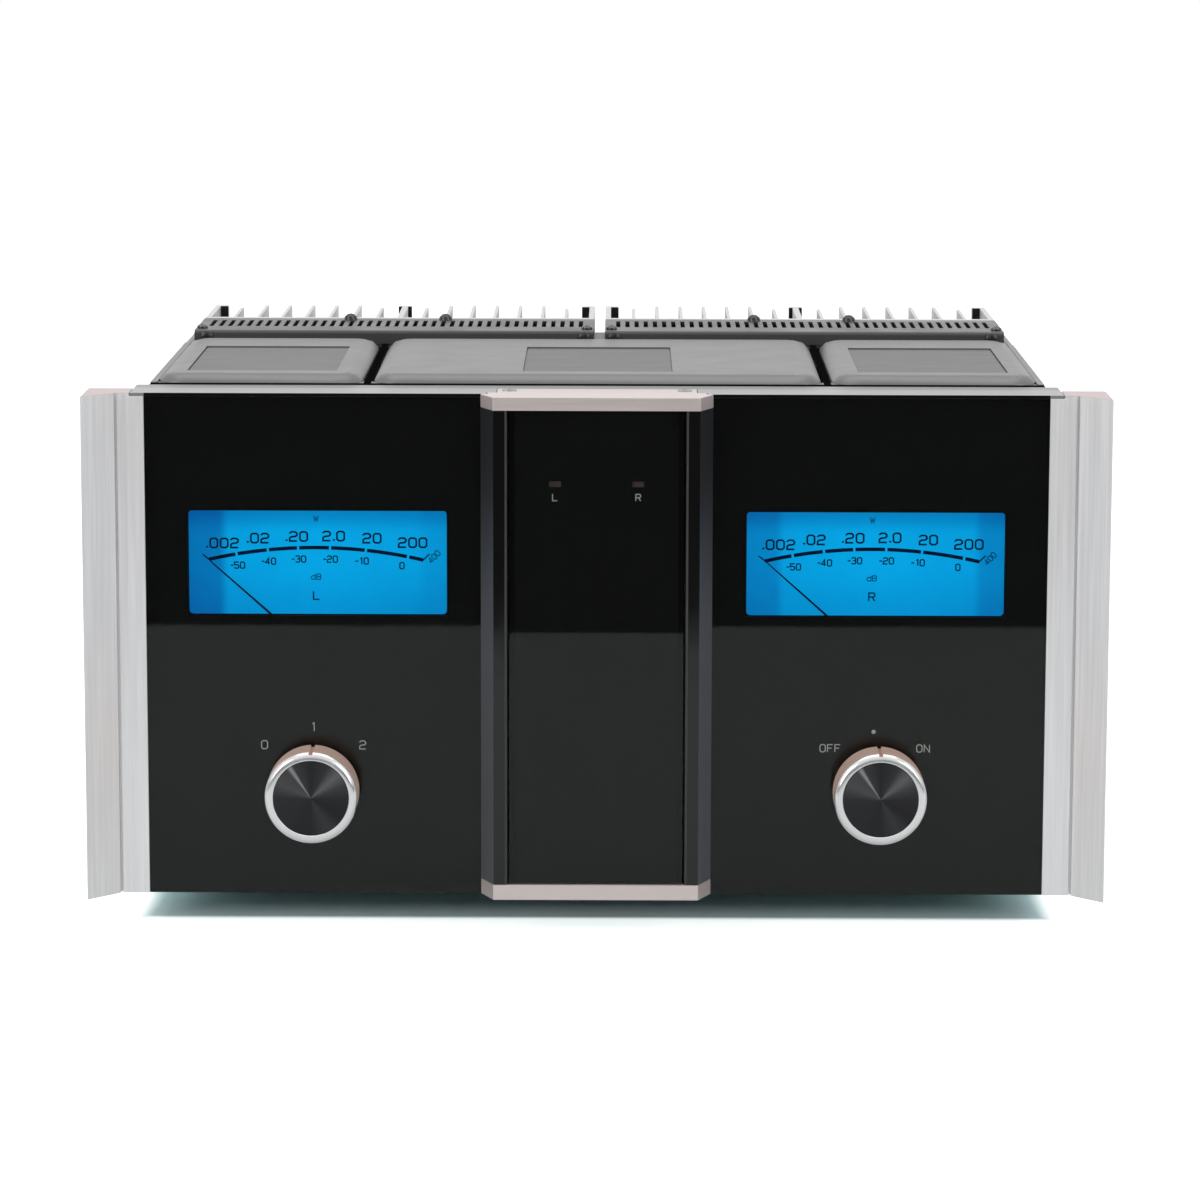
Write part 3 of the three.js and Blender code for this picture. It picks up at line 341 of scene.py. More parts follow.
def frame_black():
    """Blue-black flanks darkened towards the top by painted shade, a glossy black front, a painted highlight
    on the bevel round the glass, and black behind it.
    """
    finish = Finish("frame_black")
    low, high = (end * MM for end in FLANK_SHADE)
    # Painted shade: the flank darkens towards the top
    height = finish.ramp(finish.axis("Z"), 0.0, 1.0, low, high, smooth=True)
    pale = finish.mix(finish.noise(45), (0.08, 0.083, 0.092), (0.09, 0.093, 0.102))
    flank = finish.mix(height, pale, (0.017, 0.018, 0.02))
    front = finish.between(finish.depth(), -FAR, FRAME_FACE)
    # Painted highlight: the bevel beside the glass is drawn lighter
    bevel = finish.between(finish.side(), *FRAME_BEVEL)
    inside = finish.between(finish.side(), -FAR, FRAME_LEDGE)
    tone = finish.mix(front, flank, (0.002, 0.002, 0.002))
    tone = finish.mix(bevel, tone, (0.04, 0.04, 0.046))
    finish.color(finish.mix(inside, tone, (0.002, 0.002, 0.002)))
    finish.link("Metallic", inside)
    finish.roughness(finish.maths("SUBTRACT", finish.ramp(finish.noise(12), 0.3, 0.36),
                                  finish.maths("MULTIPLY", front, 0.24)))
    finish.bump(finish.noise(0.35, detail=2), 0.001)


def end_cap_metal():
    """Aluminium brushed upwards, with a warm painted reflection on its top face."""
    finish = Finish("end_cap").set(Metallic=0.4)
    lines = finish.noise(1.3, ALONG_Z, detail=4)
    bands = finish.noise(9, ALONG_Z, detail=2)
    tone = finish.mix(finish.ramp(lines, 0.0, 1.0), (0.79, 0.78, 0.79), (0.92, 0.91, 0.92))
    tone = finish.mix(finish.ramp(bands, 0.0, 0.5), tone, (0.82, 0.81, 0.82))
    # Painted reflection: the top face takes a warmer, pinker colour
    top = finish.between(finish.axis("Z"), PANEL_TOP - 0.1, FAR, 0.2)
    finish.color(finish.mix(top, tone, (0.6, 0.5, 0.495)))
    finish.roughness(finish.ramp(lines, 0.31, 0.44))
    finish.bump(lines, 0.006)


def deck_steel():
    """A bright drawn strip with a black front edge, painted shade between and under the cans, and grey
    beside them.
    """
    finish = Finish("deck_steel").set(Metallic=0.8)
    lines = finish.noise(0.5, ALONG_X, detail=4)
    strip = finish.mix(lines, (0.37, 0.374, 0.378), (0.43, 0.43, 0.434))
    plain = finish.mix(lines, (0.26, 0.26, 0.262), (0.31, 0.31, 0.312))
    painted_shade = finish.mix(lines, (0.012, 0.011, 0.01), (0.02, 0.018, 0.017))
    grey = finish.mix(lines, (0.17, 0.17, 0.17), (0.19, 0.19, 0.19))
    depth, side = finish.depth(), finish.side()
    behind = finish.between(depth, SHADE_SHEET_FRONT, FAR)
    beside = finish.maths("MULTIPLY", behind, finish.between(side, CAN_X, FAR))
    over_glass = finish.maths("MULTIPLY", finish.between(depth, -FAR, DECK_EDGE),
                              finish.between(side, -FAR, GLASS_X))
    tone = finish.mix(finish.between(depth, *STRIP), strip, plain)
    # Behind the front of the black sheets and inside the outer cans the steel is painted dark: painted shade
    # of the cans
    tone = finish.mix(beside, finish.mix(behind, tone, painted_shade), grey)
    finish.color(finish.mix(over_glass, tone, (0.004, 0.004, 0.004)))
    finish.roughness(finish.ramp(lines, 0.28, 0.4))
    finish.bump(lines, 0.004)


def hood_paint():
    """Dark satin paint; the domed screws that stand above the sheet are darker and glossier."""
    finish = Finish("hood_paint")
    sheet = finish.mix(finish.noise(60), (0.05, 0.05, 0.05), (0.058, 0.058, 0.058))
    screw = finish.between(finish.axis("Z"), SINK_TOP + 0.1, FAR)
    finish.color(finish.mix(screw, sheet, (0.012, 0.011, 0.01)))
    rough = finish.ramp(finish.noise(20), 0.31, 0.41)
    finish.roughness(finish.maths("SUBTRACT", rough, finish.maths("MULTIPLY", screw, 0.2)))
    finish.bump(finish.noise(1.2, detail=2), 0.012)


def extruded_sink():
    """Bare extruded fins with lines drawn upwards; the screw bosses are black on their front."""
    finish = Finish("extruded_sink").set(Metallic=0.5)
    lines = finish.noise(0.7, ALONG_Z, detail=4)
    bare = finish.mix(lines, (0.64, 0.635, 0.635), (0.72, 0.715, 0.715))
    away = finish.maths("ABSOLUTE", finish.maths("SUBTRACT", finish.side(), SINK_X * MM))
    bosses = finish.maths("MAXIMUM", *[finish.between(away, *band) for band in SINK_BOSSES])
    front = finish.between(finish.depth(), *BOSS_FACE)
    finish.color(finish.mix(finish.maths("MULTIPLY", bosses, front), bare, (0.008, 0.006, 0.006)))
    finish.roughness(finish.ramp(lines, 0.35, 0.48))
    finish.bump(lines, 0.004)


front_glass()
spun_disc()
printed_board()
laminated_core()
frame_black()
end_cap_metal()
deck_steel()
hood_paint()
extruded_sink()
lit_dial("left_dial", -WINDOW_X, 0.5, 0.9)
lit_dial("right_dial", WINDOW_X, 0.66, 0.7)
painted("black_steel", (0.0045, 0.0045, 0.0045), 0.7, gloss=0.05)
painted("cover", (0.19, 0.19, 0.19), 0.37, grain=0.8, depth=0.003, flake=0.5)
# Matt black with no sheen, for the sheets of painted shade round the cans
painted("shade_sheet", (0.006, 0.005, 0.005), 0.9, gloss=0)
brushed("trim", (0.73, 0.645, 0.625), 0.34, ALONG_X, 0.55)
brushed("knob", (0.88, 0.62, 0.51), 0.36, ALONG_Y, 0.2)
brushed("chassis", (0.5, 0.5, 0.5), 0.34, ALONG_X, 0.8)
brushed("plate", (0.09, 0.088, 0.087), 0.39, ALONG_X, 0.3, line=0.35)
satin("switch_body", (0.5, 0.5, 0.48), 0.35)
satin("polished_ring", (0.8, 0.8, 0.805), 0.2, metallic=0.9)
satin("terminal_cap", (0.83, 0.6, 0.27), 0.22)
satin("screw", (0.42, 0.42, 0.43), 0.3)
satin("dark_screw", (0.05, 0.047, 0.045), 0.3, metallic=0.6)
satin("bright_screw", (0.12, 0.113, 0.108), 0.13)
moulded("meter_case", (0.012, 0.012, 0.012), 0.7)
moulded("needle", (0.001, 0.008, 0.035), 0.6, gloss=0.1)
moulded("capacitor", (0.012, 0.03, 0.09), 0.35, depth=0.005)
moulded("foot", (0.012, 0.012, 0.012), 0.8)
moulded("terminal_plastic", (0.014, 0.014, 0.014), 0.5)
moulded("print", (0.32, 0.35, 0.32), 0.6, depth=0.002)
# The dial's print is dark ink; its navy tint is painted light from behind showing through it
moulded("dial_print", (0.0, 0.016, 0.07), 0.7, depth=0.002, gloss=0)
moulded("red_ring", (0.35, 0.01, 0.01), 0.4)
moulded("white_ring", (0.6, 0.6, 0.58), 0.4)


# --- the solids get their looks
TRANSFORMERS = ("left_output_transformer", "power_transformer", "right_output_transformer")
NODE_LOOKS = {
    "front_glass": ("left_glass", "right_glass", "centre_glass"),
    "black_steel": ("front_subpanel",),
    "frame_black": ("centre_frame",),
    "trim": ("centre_cap_top", "centre_cap_bottom"),
    "end_cap": ("end_cap_left", "end_cap_right"),
    "meter_case": ("left_meter_case", "right_meter_case"),
    "left_dial": ("left_meter_dial",),
    "right_dial": ("right_meter_dial",),
    "switch_body": ("meter_switch", "power_switch"),
    "chassis": ("chassis_tray", "rear_panel"),
    "deck_steel": ("chassis_deck",),
    "cover": tuple(f"{name}_cover" for name in TRANSFORMERS),
    "laminated_core": tuple(f"{name}_core" for name in TRANSFORMERS),
    "plate": tuple(f"{name}_nameplate" for name in TRANSFORMERS),
    "extruded_sink": ("left_heat_sink", "right_heat_sink"),
    "hood_paint": ("left_hood", "right_hood"),
    "printed_board": ("left_output_board", "right_output_board", "power_supply_board",
                      "indicator_board", "input_board"),
    "capacitor": ("left_filter_capacitor", "right_filter_capacitor"),
    "foot": ("front_left_foot", "front_right_foot", "rear_left_foot", "rear_right_foot"),
    "terminal_plastic": ("speaker_terminal_block", "mains_inlet", "fuse_drawer", "mode_switch_lever"),
}
# Edge rounding of the solids whose edges catch the light, in mm
EDGES = {"trim": 0.35, "end_cap": 0.3, "frame_black": 0.3, "chassis": 0.3, "deck_steel": 0.2,
         "hood_paint": 0.35, "extruded_sink": 0.2, "terminal_plastic": 0.35, "plate": 0.15}
SMOOTH_ANGLE = math.radians(32)
# The glass is drawn this much smaller, so that it doesn't touch the steel behind it, in mm
GLASS_GAP = 0.03


def smooth_by_angle():
    """Shades faces smooth and keeps an edge sharp where it turns more than the smooth angle."""
    group = bpy.data.node_groups.new("smooth_by_angle", "GeometryNodeTree")
    for way in ("INPUT", "OUTPUT"):
        group.interface.new_socket("Geometry", in_out=way, socket_type="NodeSocketGeometry")
    nodes, links = group.nodes, group.links
    start, end = nodes.new("NodeGroupInput"), nodes.new("NodeGroupOutput")
    faces, edges = (nodes.new("GeometryNodeSetShadeSmooth") for _ in range(2))
    edges.domain = "EDGE"
    faces.inputs["Shade Smooth"].default_value = True
    edges.inputs["Shade Smooth"].default_value = False
    turned = nodes.new("FunctionNodeCompare")
    turned.operation = "GREATER_THAN"
    turned.inputs[1].default_value = SMOOTH_ANGLE
    links.new(nodes.new("GeometryNodeInputMeshEdgeAngle").outputs[0], turned.inputs[0])
    links.new(turned.outputs[0], edges.inputs["Selection"])
    links.new(start.outputs[0], faces.inputs[0])
    links.new(faces.outputs[0], edges.inputs[0])
    links.new(edges.outputs[0], end.inputs[0])
    return group


SMOOTHING = smooth_by_angle()


def dress(look, name):
    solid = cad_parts[name]
    solid.data.materials.clear()
    solid.data.materials.append(LOOKS[look])
    weld = solid.modifiers.new("weld", "WELD")
    weld.merge_threshold = 1e-6
    if look == "front_glass":
        gap = solid.modifiers.new("gap", "DISPLACE")
        gap.mid_level = 0
        gap.strength = -GLASS_GAP * MM
    if look in EDGES:
        bevel = solid.modifiers.new("edges", "BEVEL")
        bevel.width = EDGES[look] * MM
        bevel.segments = 2
        bevel.limit_method = "ANGLE"
        bevel.angle_limit = SMOOTH_ANGLE
    smooth = solid.modifiers.new("smooth", "NODES")
    smooth.node_group = SMOOTHING
    normals = solid.modifiers.new("normals", "WEIGHTED_NORMAL")
    normals.keep_sharp = True


for look, names in NODE_LOOKS.items():
    for name in names:
        dress(look, name)


# --- meshes for the pieces added here
def add_object(name, data, matrix=Matrix.Identity(4)):
    added = bpy.data.objects.new(name, data)
    bpy.context.scene.collection.objects.link(added)
    added.matrix_world = matrix
    return added


def new_piece(name, mesh, look, body, matrix):
    piece = add_object(name, mesh, matrix)
    if not mesh.materials:
        mesh.materials.append(LOOKS[look])
    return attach(piece, body)


def smoothed(mesh):
    mesh.polygons.foreach_set("use_smooth", [True] * len(mesh.polygons))
    mesh.set_sharp_from_angle(angle=SMOOTH_ANGLE)
    return mesh


def face_outward(mesh, weld=False):
    """Turns all faces outward, with points that lie together made one if weld is set."""
    bm = bmesh.new()
    bm.from_mesh(mesh)
    if weld:
        bmesh.ops.remove_doubles(bm, verts=bm.verts, dist=1e-7)
    bmesh.ops.recalc_face_normals(bm, faces=bm.faces)
    bm.to_mesh(mesh)
    bm.free()
    return mesh


def mesh_of(name, points, faces):
    mesh = bpy.data.meshes.new(name)
    mesh.from_pydata([tuple(p) for p in points], [], faces)
    mesh.update()
    return face_outward(mesh)


def lathe(name, profile, steps=64, shape=None):
    """A closed solid about z from radius and height pairs in mm; shape(angle, row) scales a radius."""
    points, rows = [], []
    for row, (radius, height) in enumerate(profile):
        if radius == 0:
            rows.append([len(points)])
            points.append((0, 0, height * MM))
            continue
        rows.append(list(range(len(points), len(points) + steps)))
        for k in range(steps):
            angle = 2 * math.pi * k / steps
            r = radius * MM * (shape(angle, row) if shape else 1)
            points.append((r * math.cos(angle), r * math.sin(angle), height * MM))
    faces = []
    for low, high in zip(rows, rows[1:]):
        for k in range(steps):
            n = (k + 1) % steps
            corners = [low[k % len(low)], low[n % len(low)], high[n % len(high)], high[k % len(high)]]
            face = list(dict.fromkeys(corners))
            if len(face) > 2:
                faces.append(face)
    return smoothed(mesh_of(name, points, faces))


def box_mesh(name, width, depth, height, base):
    a, b = width / 2 * MM, depth / 2 * MM
    low, high = base * MM, (base + height) * MM
    points = [(x, y, z) for z in (low, high) for x, y in ((-a, -b), (a, -b), (a, b), (-a, b))]
    faces = [(0, 3, 2, 1), (4, 5, 6, 7), (0, 1, 5, 4), (1, 2, 6, 5), (2, 3, 7, 6), (3, 0, 4, 7)]
    return mesh_of(name, points, faces)


def settled(source):
    """The mesh that an object comes to with its modifiers, or a curve with its fill."""
    graph = bpy.context.evaluated_depsgraph_get()
    return bpy.data.meshes.new_from_object(source.evaluated_get(graph))


def carve(mesh, *cutters, operation="DIFFERENCE"):
    """Cuts each (mesh, matrix) out of a mesh, or joins it on, and gives back the result."""
    body = add_object("carving", mesh)
    tools = []
    for cutter, matrix in cutters:
        tools.append(add_object("tool", cutter, matrix))
        modifier = body.modifiers.new("cut", "BOOLEAN")
        modifier.operation = operation
        modifier.solver = "EXACT"
        modifier.object = tools[-1]
    carved = settled(body)
    for spent in (*tools, body):
        bpy.data.objects.remove(spent)
    return smoothed(carved)


def prism(name, outline, holes, low, high):
    """A flat outline in mm with holes, drawn from low to high along z."""
    curve = bpy.data.curves.new(name, "CURVE")
    curve.dimensions = "2D"
    curve.fill_mode = "BOTH"
    for ring in (outline, *holes):
        spline = curve.splines.new("POLY")
        spline.points.add(len(ring) - 1)
        for point, (x, y) in zip(spline.points, ring):
            point.co = (x * MM, y * MM, 0, 1)
        spline.use_cyclic_u = True
    curve.extrude = (high - low) / 2 * MM
    holder = add_object("holder", curve)
    mesh = settled(holder)
    bpy.data.objects.remove(holder)
    mesh.name = name
    mesh.transform(Matrix.Translation((0, 0, (low + high) / 2 * MM)))
    mesh.materials.clear()
    return face_outward(mesh, weld=True)


def rounded(width, height, radius, steps=6):
    """A rounded rectangle's outline about the middle."""
    points = []
    for turn, (sx, sy) in enumerate(((1, 1), (-1, 1), (-1, -1), (1, -1))):
        for k in range(steps + 1):
            angle = math.pi / 2 * (turn + k / steps)
            x = sx * (width / 2 - radius) + radius * math.cos(angle)
            y = sy * (height / 2 - radius) + radius * math.sin(angle)
            points.append((x, y))
    return points


# Ways that a piece can face: its z axis points to the front, the back, up, down or to a side
TO_FRONT = Matrix.Rotation(math.radians(90), 4, "X")
TO_BACK = Matrix.Rotation(math.radians(180), 4, "Z") @ TO_FRONT
UPWARD = Matrix.Identity(4)
DOWNWARD = Matrix.Rotation(math.radians(180), 4, "X")
TO_RIGHT = Matrix.Rotation(math.radians(90), 4, "Y")
TO_LEFT = Matrix.Rotation(math.radians(-90), 4, "Y")


def at(x, y, z, way=UPWARD):
    return Matrix.Translation(place(x, y, z)) @ way


# --- screws
HEAD_STEPS = 7
# The cross recess: length and width in radii of the head, and what it leaves of the head's height
CROSS_LENGTH = 1.1
CROSS_WIDTH = 0.22
CROSS_FLOOR = 0.45


def screw_head(name, radius, height, dome, look):
    """A head with a rounded top and a cross recess; dome is the share of the height that is round."""
    base = height * (1 - dome)
    profile = [(0, 0), (radius, 0), (radius, base)]
    for k in range(1, HEAD_STEPS):
        angle = math.pi / 2 * k / HEAD_STEPS
        profile.append((radius * math.cos(angle), base + height * dome * math.sin(angle)))
    profile.append((0, height))
    arm, width = radius * CROSS_LENGTH, radius * CROSS_WIDTH
    cutters = [(box_mesh("arm", *size, height, height * CROSS_FLOOR), Matrix.Identity(4))
               for size in ((arm, width), (width, arm))]
    carved = carve(lathe(name, profile, 40), *cutters)
    carved.materials.append(LOOKS[look])
    return carved


TAB_SCREW = screw_head("tab_screw", 3.2, 0.5, 0.2, "screw")
HOOD_SCREW = screw_head("hood_screw", 2.6, 1.9, 0.6, "bright_screw")
FACE_SCREW = screw_head("face_screw", 3.0, 1.7, 0.6, "dark_screw")
CASE_SCREW = screw_head("case_screw", 2.8, 1.6, 0.6, "screw")
SOCKET_SCREW = screw_head("socket_screw", 1.7, 1.0, 0.6, "dark_screw")


def add_screw(name, mesh, matrix, turn):
    turned = matrix @ Matrix.Rotation(math.radians(turn), 4, "Z")
    new_piece(name, mesh, None, "chassis", turned)


# Places on the right half, as the two lengths that each loop below names
TAB_SCREW_PLACE = (38.2, 12.8)
HOOD_SCREWS = ((189.6, 209.7), (5.9, 209.7))
FACE_SCREWS = ((186.8, 240.7), (7.1, 240.7))
WALL_SCREWS = ((30, 30), (30, 222), (130, 30), (130, 222), (245, 222), (305, 30))
REAR_SCREWS = ((188, 91), (188, 23), (95, 91), (95, 23))
FLOOR_SCREWS = ((188, 18), (188, 160), (95, 18), (95, 308), (188, 308))
FOOT_SCREWS = (("front", 95), ("rear", 283.2))
FOOT_X = 170.1
FOOT_SCREW_Z = 5

for side, sign in SIDES:
    x, y = TAB_SCREW_PLACE
    add_screw(f"{side}_tab_screw", TAB_SCREW, at(sign * x, y, PANEL_TOP), 20 * sign)
    for k, (x, y) in enumerate(HOOD_SCREWS):
        add_screw(f"{side}_hood_screw_{k + 1}", HOOD_SCREW, at(sign * x, y, SINK_TOP), 15 + 40 * k)
    for k, (x, z) in enumerate(FACE_SCREWS):
        add_screw(f"{side}_face_screw_{k + 1}", FACE_SCREW,
                  at(sign * x, HOOD_FRONT, z, TO_FRONT), 70 * k)
    for k, (y, z) in enumerate(WALL_SCREWS):
        way = TO_RIGHT if sign > 0 else TO_LEFT
        add_screw(f"{side}_wall_screw_{k + 1}", CASE_SCREW, at(sign * WALL_X, y, z, way), 25 * k)
    for k, (x, z) in enumerate(REAR_SCREWS):
        add_screw(f"{side}_rear_screw_{k + 1}", CASE_SCREW,
                  at(sign * x, REAR_FACE, z, TO_BACK), 33 * k)
    for k, (x, y) in enumerate(FLOOR_SCREWS):
        add_screw(f"{side}_floor_screw_{k + 1}", CASE_SCREW,
                  at(sign * x, y, FLOOR_BOTTOM, DOWNWARD), 21 * k)
    for end, y in FOOT_SCREWS:
        add_screw(f"{end}_{side}_foot_screw", CASE_SCREW,
                  at(sign * FOOT_X, y, FOOT_SCREW_Z, DOWNWARD), 40)


# --- knobs
KNURLS = 72
KNURL_DEPTH = 0.13
KNURL_ROWS = 6
KNOB_STEPS = 432
WALL_ROWS = 34
KNOB_LENGTH = KNOB_BACK - KNOB_FRONT
# Where the polished ring starts on the wall, in mm below the face
RING_BELOW = 1.7


def knob_mesh():
    """A turned knob: polished chamfer ring, knurled wall, flat back and a stem."""
    length, edge = KNOB_LENGTH, KNOB_RADIUS
    seat = KNOB_BACK - DISC_BACK
    wall_top, wall_low = length - 1.9, 1.3
    profile = [(0, -STEM_LENGTH), (3, -STEM_LENGTH), (3, 0), (6, 0), (17.6, 0), (edge - 0.5, 0),
               (edge - 0.1, 0.4)]
    first = len(profile)
    for k in range(WALL_ROWS + 1):
        profile.append((edge, wall_low + (wall_top - wall_low) * k / WALL_ROWS))
    last = len(profile)
    profile += [(edge, length - 1.55), (edge - 0.15, length - 1.3), (edge - 1.4, length - 0.1),
                (edge - 1.6, length), (DISC_RADIUS + 0.15, length), (DISC_RADIUS, length - 0.15),
                (DISC_RADIUS, seat), (0, seat)]

    def knurl(angle, row):
        if not first <= row < last:
            return 1
        across, slant = KNURLS * angle / 2, math.pi * (row - first) / KNURL_ROWS
        waves = abs(math.sin(across + slant)) * abs(math.sin(across - slant))
        return 1 - KNURL_DEPTH / KNOB_RADIUS * (1 - waves)

    turned = lathe("knob", profile, KNOB_STEPS, knurl)
    notch = box_mesh("notch", 1.8, 4, 40, -1)
    return carve(turned, (notch, Matrix.Translation((0, (KNOB_RADIUS + 0.9) * MM, 0))))


def knob_materials(mesh):
    """The wall and back are satin; the chamfer ring and the face are polished."""
    mesh.materials.clear()
    mesh.materials.append(LOOKS["knob"])
    mesh.materials.append(LOOKS["polished_ring"])
    for face in mesh.polygons:
        face.material_index = 1 if face.center.z > (KNOB_LENGTH - RING_BELOW) * MM else 0


KNOB = knob_mesh()
knob_materials(KNOB)
DISC = lathe("spun_disc", [(0, 0), (DISC_RADIUS - 0.1, 0), (DISC_RADIUS - 0.1, DISC_THICKNESS - 0.2),
                           (DISC_RADIUS - 0.3, DISC_THICKNESS), (0, DISC_THICKNESS)], 96)
for name, sign in (("meter", -1), ("power", 1)):
    knob = new_piece(f"{name}_knob_turned", KNOB, None, f"{name}_selector",
                     at(sign * KNOB_X, KNOB_BACK, KNOB_Z, TO_FRONT))
    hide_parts(f"{name}_knob")
    disc = new_piece(f"{name}_disc_spun", DISC, "spun_disc", f"{name}_selector",
                     at(sign * KNOB_X, DISC_BACK, KNOB_Z, TO_FRONT))
    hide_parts(f"{name}_knob_disc")


# --- dials
# Square-cut numerals and capitals as strokes on a grid one wide and one and a half high.
# C is the size of a cut corner.
C = 0.24
STROKES = {
    "0": [[(C, 0), (1 - C, 0), (1, C), (1, 1.5 - C), (1 - C, 1.5), (C, 1.5), (0, 1.5 - C), (0, C), (C, 0)]],
    "1": [[(0.25, 1.28), (0.6, 1.5), (0.6, 0)]],
    "2": [[(0, 1.2), (0, 1.5 - C), (C, 1.5), (1 - C, 1.5), (1, 1.5 - C), (1, 0.95), (1 - C, 0.75),
           (C, 0.7), (0, 0.48), (0, 0), (1, 0)]],
    "3": [[(0, 1.5 - C), (C, 1.5), (1 - C, 1.5), (1, 1.5 - C), (1, 0.98), (0.8, 0.77), (0.35, 0.77)],
          [(0.8, 0.77), (1, 0.58), (1, C), (1 - C, 0), (C, 0), (0, C)]],
    "4": [[(0.75, 0), (0.75, 1.5), (0, 0.42), (1, 0.42)]],
    "5": [[(1, 1.5), (0, 1.5), (0, 0.85), (1 - C, 0.85), (1, 0.85 - C), (1, C), (1 - C, 0), (C, 0), (0, C)]],
    ".": [[(-0.08, 0.13), (0.22, 0.13)]],
    "-": [[(0.0, 0.72), (0.72, 0.72)]],
    "F": [[(0, 0), (0, 1.5), (1, 1.5)], [(0, 0.78), (0.8, 0.78)]],
    "N": [[(0, 0), (0, 1.5), (1, 0), (1, 1.5)]],
    "W": [[(0, 1.5), (0.25, 0), (0.5, 1.1), (0.75, 0), (1, 1.5)]],
    "d": [[(1, 1.5), (1, 0), (C, 0), (0, C), (0, 1 - C), (C, 1), (1, 1)]],
    "B": [[(0, 0), (0, 1.5), (0.8, 1.5), (1, 1.3), (1, 0.97), (0.8, 0.78), (1, 0.58), (1, 0.2),
           (0.8, 0), (0, 0)], [(0, 0.78), (0.8, 0.78)]],
    "L": [[(0, 1.5), (0, 0), (1, 0)]],
    "R": [[(0, 0), (0, 1.5), (0.8, 1.5), (1, 1.3), (1, 0.95), (0.8, 0.75), (0, 0.75)],
          [(0.55, 0.75), (1, 0)]],
}
GLYPH_STEP = 1.42
GLYPH_STEPS = {".": 0.5, "-": 0.95, "1": 1.15}
# A number and its place on the dial, in mm from the middle
UPPER = ((".002", -42.2, 7.5), (".02", -26.6, 9.7), (".20", -9.6, 10.5), ("2.0", 6.6, 10.7),
         ("20", 23.4, 9.8), ("200", 41.2, 7.9))
LOWER = (("-50", -35.6, -2.3), ("-40", -22.0, -0.5), ("-30", -8.8, 0.5), ("-20", 5.1, 0.5),
         ("-10", 18.9, -0.3), ("0", 36.5, -2.3))
LAST_PLACE = (50.6, 1.7)
UNIT_PLACES = ((-1.1, 18.5), (-1.2, -7.3))
TITLE_PLACE = (-1.1, -15.6)
ARC_RADIUS = 208
ARC_TOP = 5.6
ARC_HALF = 46.9
ARC_MIDDLE = -1.2
ARC_GAPS = (-36.0, -22.3, -9.0, 5.0, 20.7, 39.2)
ARC_STEPS = 8
GAP_HALF = 0.5
PRINT_LIFT = 0.06


def ribbon(points, width):
    """The two edges of a stroke through the points, mitred at the corners."""
    edges = ([], [])
    for k, p in enumerate(points):
        before = Vector(p) - Vector(points[max(k - 1, 0)])
        after = Vector(points[min(k + 1, len(points) - 1)]) - Vector(p)
        closed = (Vector(points[0]) - Vector(points[-1])).length < 1e-9
        if closed and k in (0, len(points) - 1):
            before = Vector(points[-1]) - Vector(points[-2])
            after = Vector(points[1]) - Vector(points[0])
        before = before if before.length else after
        after = after if after.length else before
        a, b = before.normalized(), after.normalized()
        mean = (a + b).normalized()
        across = Vector((-mean.y, mean.x)) * (width / 2 / max(0.35, mean.dot(a)))
        edges[0].append(Vector(p) + across)
        edges[1].append(Vector(p) - across)
    return edges


def stroke_mesh(name, strokes, width):
    """Thin closed strokes in mm, standing PRINT_LIFT proud of their ground."""
    points, faces = [], []
    for stroke in strokes:
        one, other = ribbon(stroke, width)
        first = len(points)
        for a, b in zip(one, other):
            for height in (0, PRINT_LIFT):
                points += [(a.x * MM, a.y * MM, height * MM), (b.x * MM, b.y * MM, height * MM)]
        for k in range(len(stroke) - 1):
            c, n = first + 4 * k, first + 4 * k + 4
            faces += [(c, c + 1, n + 1, n), (c + 2, n + 2, n + 3, c + 3), (c, n, n + 2, c + 2),
                      (c + 1, c + 3, n + 3, n + 1)]
        end = first + 4 * (len(stroke) - 1)
        faces += [(first, first + 2, first + 3, first + 1), (end, end + 1, end + 3, end + 2)]
    return mesh_of(name, points, faces)


def word_strokes(word, x, y, height, wide=1.0, tilt=0.0):
    """A word's strokes, its middle at x and y, widened by wide and turned by tilt degrees."""
    scale = height / 1.5
    steps = [GLYPH_STEPS.get(c, GLYPH_STEP) for c in word]
    start = (GLYPH_STEP - 1 - sum(steps)) / 2
    turn = Matrix.Rotation(math.radians(tilt), 2)
    strokes = []
    for letter, step in zip(word, steps):
        for stroke in STROKES[letter]:
            local = [Vector(((start + a) * scale * wide, (b - 0.75) * scale)) for a, b in stroke]
            strokes.append([Vector((x, y)) + turn @ p for p in local])
        start += step
    return strokes


def arc_point(x):
    return Vector((x, ARC_TOP - ARC_RADIUS + math.sqrt(ARC_RADIUS ** 2 - (x - ARC_MIDDLE) ** 2)))


def arc_strokes():
    """The arc between the two scales, with a gap at each number."""
    stops = [ARC_MIDDLE - ARC_HALF, *ARC_GAPS, ARC_MIDDLE + ARC_HALF]
    strokes = []
    for k, (low, high) in enumerate(zip(stops, stops[1:])):
        low += GAP_HALF if k else 0
        high -= GAP_HALF if k < len(ARC_GAPS) else 0
        strokes.append([arc_point(low + (high - low) * n / ARC_STEPS) for n in range(ARC_STEPS + 1)])
    return strokes


